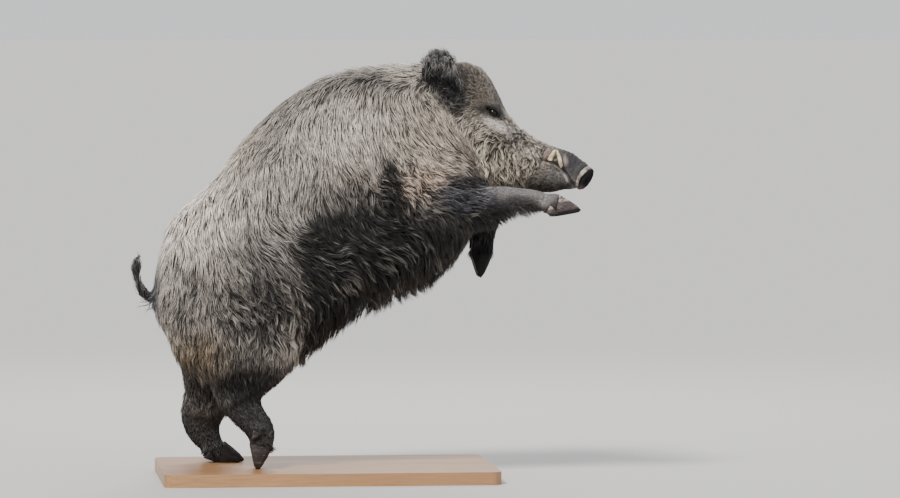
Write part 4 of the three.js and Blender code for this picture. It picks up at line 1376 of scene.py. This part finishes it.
def lock_mesh(name, rows, width, roots, shade, material):
    """Closed three-sided wedges along the rows, as one joined mesh."""
    count, rings = rows.shape[0], rows.shape[1] - 1
    verts = []
    for k in range(rings):
        ahead = unit(rows[:, k + 1] - rows[:, max(k - 1, 0)])
        across = unit(np.cross(ahead, roots.normal))
        above = np.cross(across, ahead)
        half = (width * (1.0 - 0.62 * (k / rings) ** 1.5) / 2)[:, None]
        middle = rows[:, k]
        verts += [middle + across * half, middle - across * half, middle + above * half]
    verts.append(rows[:, rings])
    verts = np.stack(verts, 1)
    each = verts.shape[1]
    faces = [(0, 2, 1)]
    for k in range(rings - 1):
        for i in range(3):
            a, b = 3 * k + i, 3 * k + (i + 1) % 3
            faces += [(a, b, b + 3), (a, b + 3, a + 3)]
    last = 3 * (rings - 1)
    faces += [(last + i, last + (i + 1) % 3, each - 1) for i in range(3)]
    whole = (np.array(faces)[None] + np.arange(count)[:, None, None] * each).reshape(-1, 3)
    mesh = bpy.data.meshes.new(name)
    mesh.vertices.add(count * each)
    mesh.vertices.foreach_set("co", verts.reshape(-1))
    mesh.loops.add(len(whole) * 3)
    mesh.loops.foreach_set("vertex_index", whole.reshape(-1).astype(np.int32))
    mesh.polygons.add(len(whole))
    mesh.polygons.foreach_set("loop_start", np.arange(0, len(whole) * 3, 3, dtype=np.int32))
    mesh.update(calc_edges=True)
    mesh.validate()
    corner = np.append(np.tile([0.0, 1.0, 0.5], rings), 0.5)
    along = np.tile(np.append(np.repeat(np.arange(rings) / rings, 3), 1.0), count)
    give(mesh, "along", "FLOAT", along[:, None])
    give(mesh, "shade", "FLOAT", np.repeat(shade, each)[:, None])
    give(mesh, "tone", "FLOAT_COLOR", np.repeat(roots.colour, each, axis=0))
    spot = np.repeat(roots.spot, each, axis=0)
    spot = spot + PATCH * (np.stack([np.tile(corner, count), along], 1) - 0.5)
    fibre = np.stack([np.tile(corner, count) + np.repeat(shade * 37, each), along], 1)
    for label, flat in (("OFBake", spot), ("fibre", fibre)):
        layer = mesh.uv_layers.new(name=label, do_init=False)
        layer.uv.foreach_set("vector", flat[whole.reshape(-1)].astype(np.float32).ravel())
    mesh.shade_smooth()
    thing = bpy.data.objects.new(name, mesh)
    bpy.context.scene.collection.objects.link(thing)
    wear(thing, material)
    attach(thing, "root")


def hair_finish():
    """Darker towards the root, partly the bristles' own pale tips and partly painted shade deep in the
    coat, with dark and pale hairs among the rest.
    """
    finish = Finish("bristles", Specular_IOR_Level=0.5)
    colour = finish.attribute("tone")
    along = finish.attribute("along", output=2)
    shade = finish.attribute("shade", output=2)
    threads = finish.node(
        "Mapping", {}, {"Vector": finish.node("UVMap", {"uv_map": "fibre"}), "Scale": (4, 1, 1)}
    )
    strands = finish.noise(threads, 1.0, 2, 0.6)
    # painted shade deep in the coat darkens the root, and the tips are paler
    gain = along.within(0.0, 0.55) * 0.84 + 0.16
    gain = gain * (shade * 0.95 + 0.45 - shade.within(0.25, 0.0) * 0.35)
    gain = gain * (strands.within(0.35, 0.65) * 0.4 + 0.8 + along * 0.2)
    paler = shade.within(0.90, 1.4) * along.within(0.1, 0.5) * 0.46
    finish.set(
        Base_Color=finish.mix(paler, finish.scaled(colour, gain), tone(170, 163, 154)),
        Roughness=strands * 0.15 + 0.40,
        Normal=finish.bump(strands, 0.0004, 0.4),
    )
    return finish.material


bristles = hair_finish()
coat_at = coat[corners].mean(1)
weight = face_areas() * coat_at[:, COVER] / (coat_at[:, LENGTH] * coat_at[:, WIDTH])
weight[none[corners].max(1) > 0.5] = 0
weight[face_point[:, 2] < LOWEST_ROOT] = 0
is_curly = np.isin(names[owner[corners[:, 0]]], HEAD_PARTS) & (coat_at[:, WAVE] > CURLY_FROM)
is_long = (coat_at[:, LENGTH] >= LONG_FROM) & ~is_curly
is_short = ~is_long & ~is_curly
share = 1.0


def grow(label, chosen, total, layers, stations):
    """Covers the chosen faces with locks, in interleaved layers over the whole body."""
    parts = weight * chosen
    each = int(total * share) // layers
    guides = Gatherings(parts, int(total * share) // LOCKS_PER_GATHERING, stations)
    for i in range(layers):
        roots = Roots(parts, each)
        length = roots.coat[:, LENGTH] * luck.uniform(0.6, 1.2, each)
        lift = roots.coat[:, LIFT] * luck.uniform(0.3, 1.4, each)
        rows = spines(roots, stations, length, lift)
        rows, shared = guides.draw(rows, roots)
        width = roots.coat[:, WIDTH] * luck.uniform(0.65, 1.25, each) / math.sqrt(share)
        common = 0.6 * roots.coat[:, GATHER]
        mixed = common * shared + (1 - common) * luck.random(each)
        shade = np.maximum(0.5 + (mixed - 0.5) * roots.coat[:, MOTTLE], 0)
        if label == "curly_coat":
            shade = np.maximum(shade * 1.25 - 0.10, 0)
        lock_mesh(f"{label}_{i + 1}", rows, width, roots, shade, bristles)


grow("long_coat", is_long, LONG_LOCKS, 5, [0, 0.35, 0.70, 1.0])
grow("short_coat", is_short, SHORT_LOCKS, 3, [0, 0.5, 1.0])
grow("curly_coat", is_curly, CURLY_LOCKS, 2, [0, 0.2, 0.4, 0.6, 0.8, 1.0])
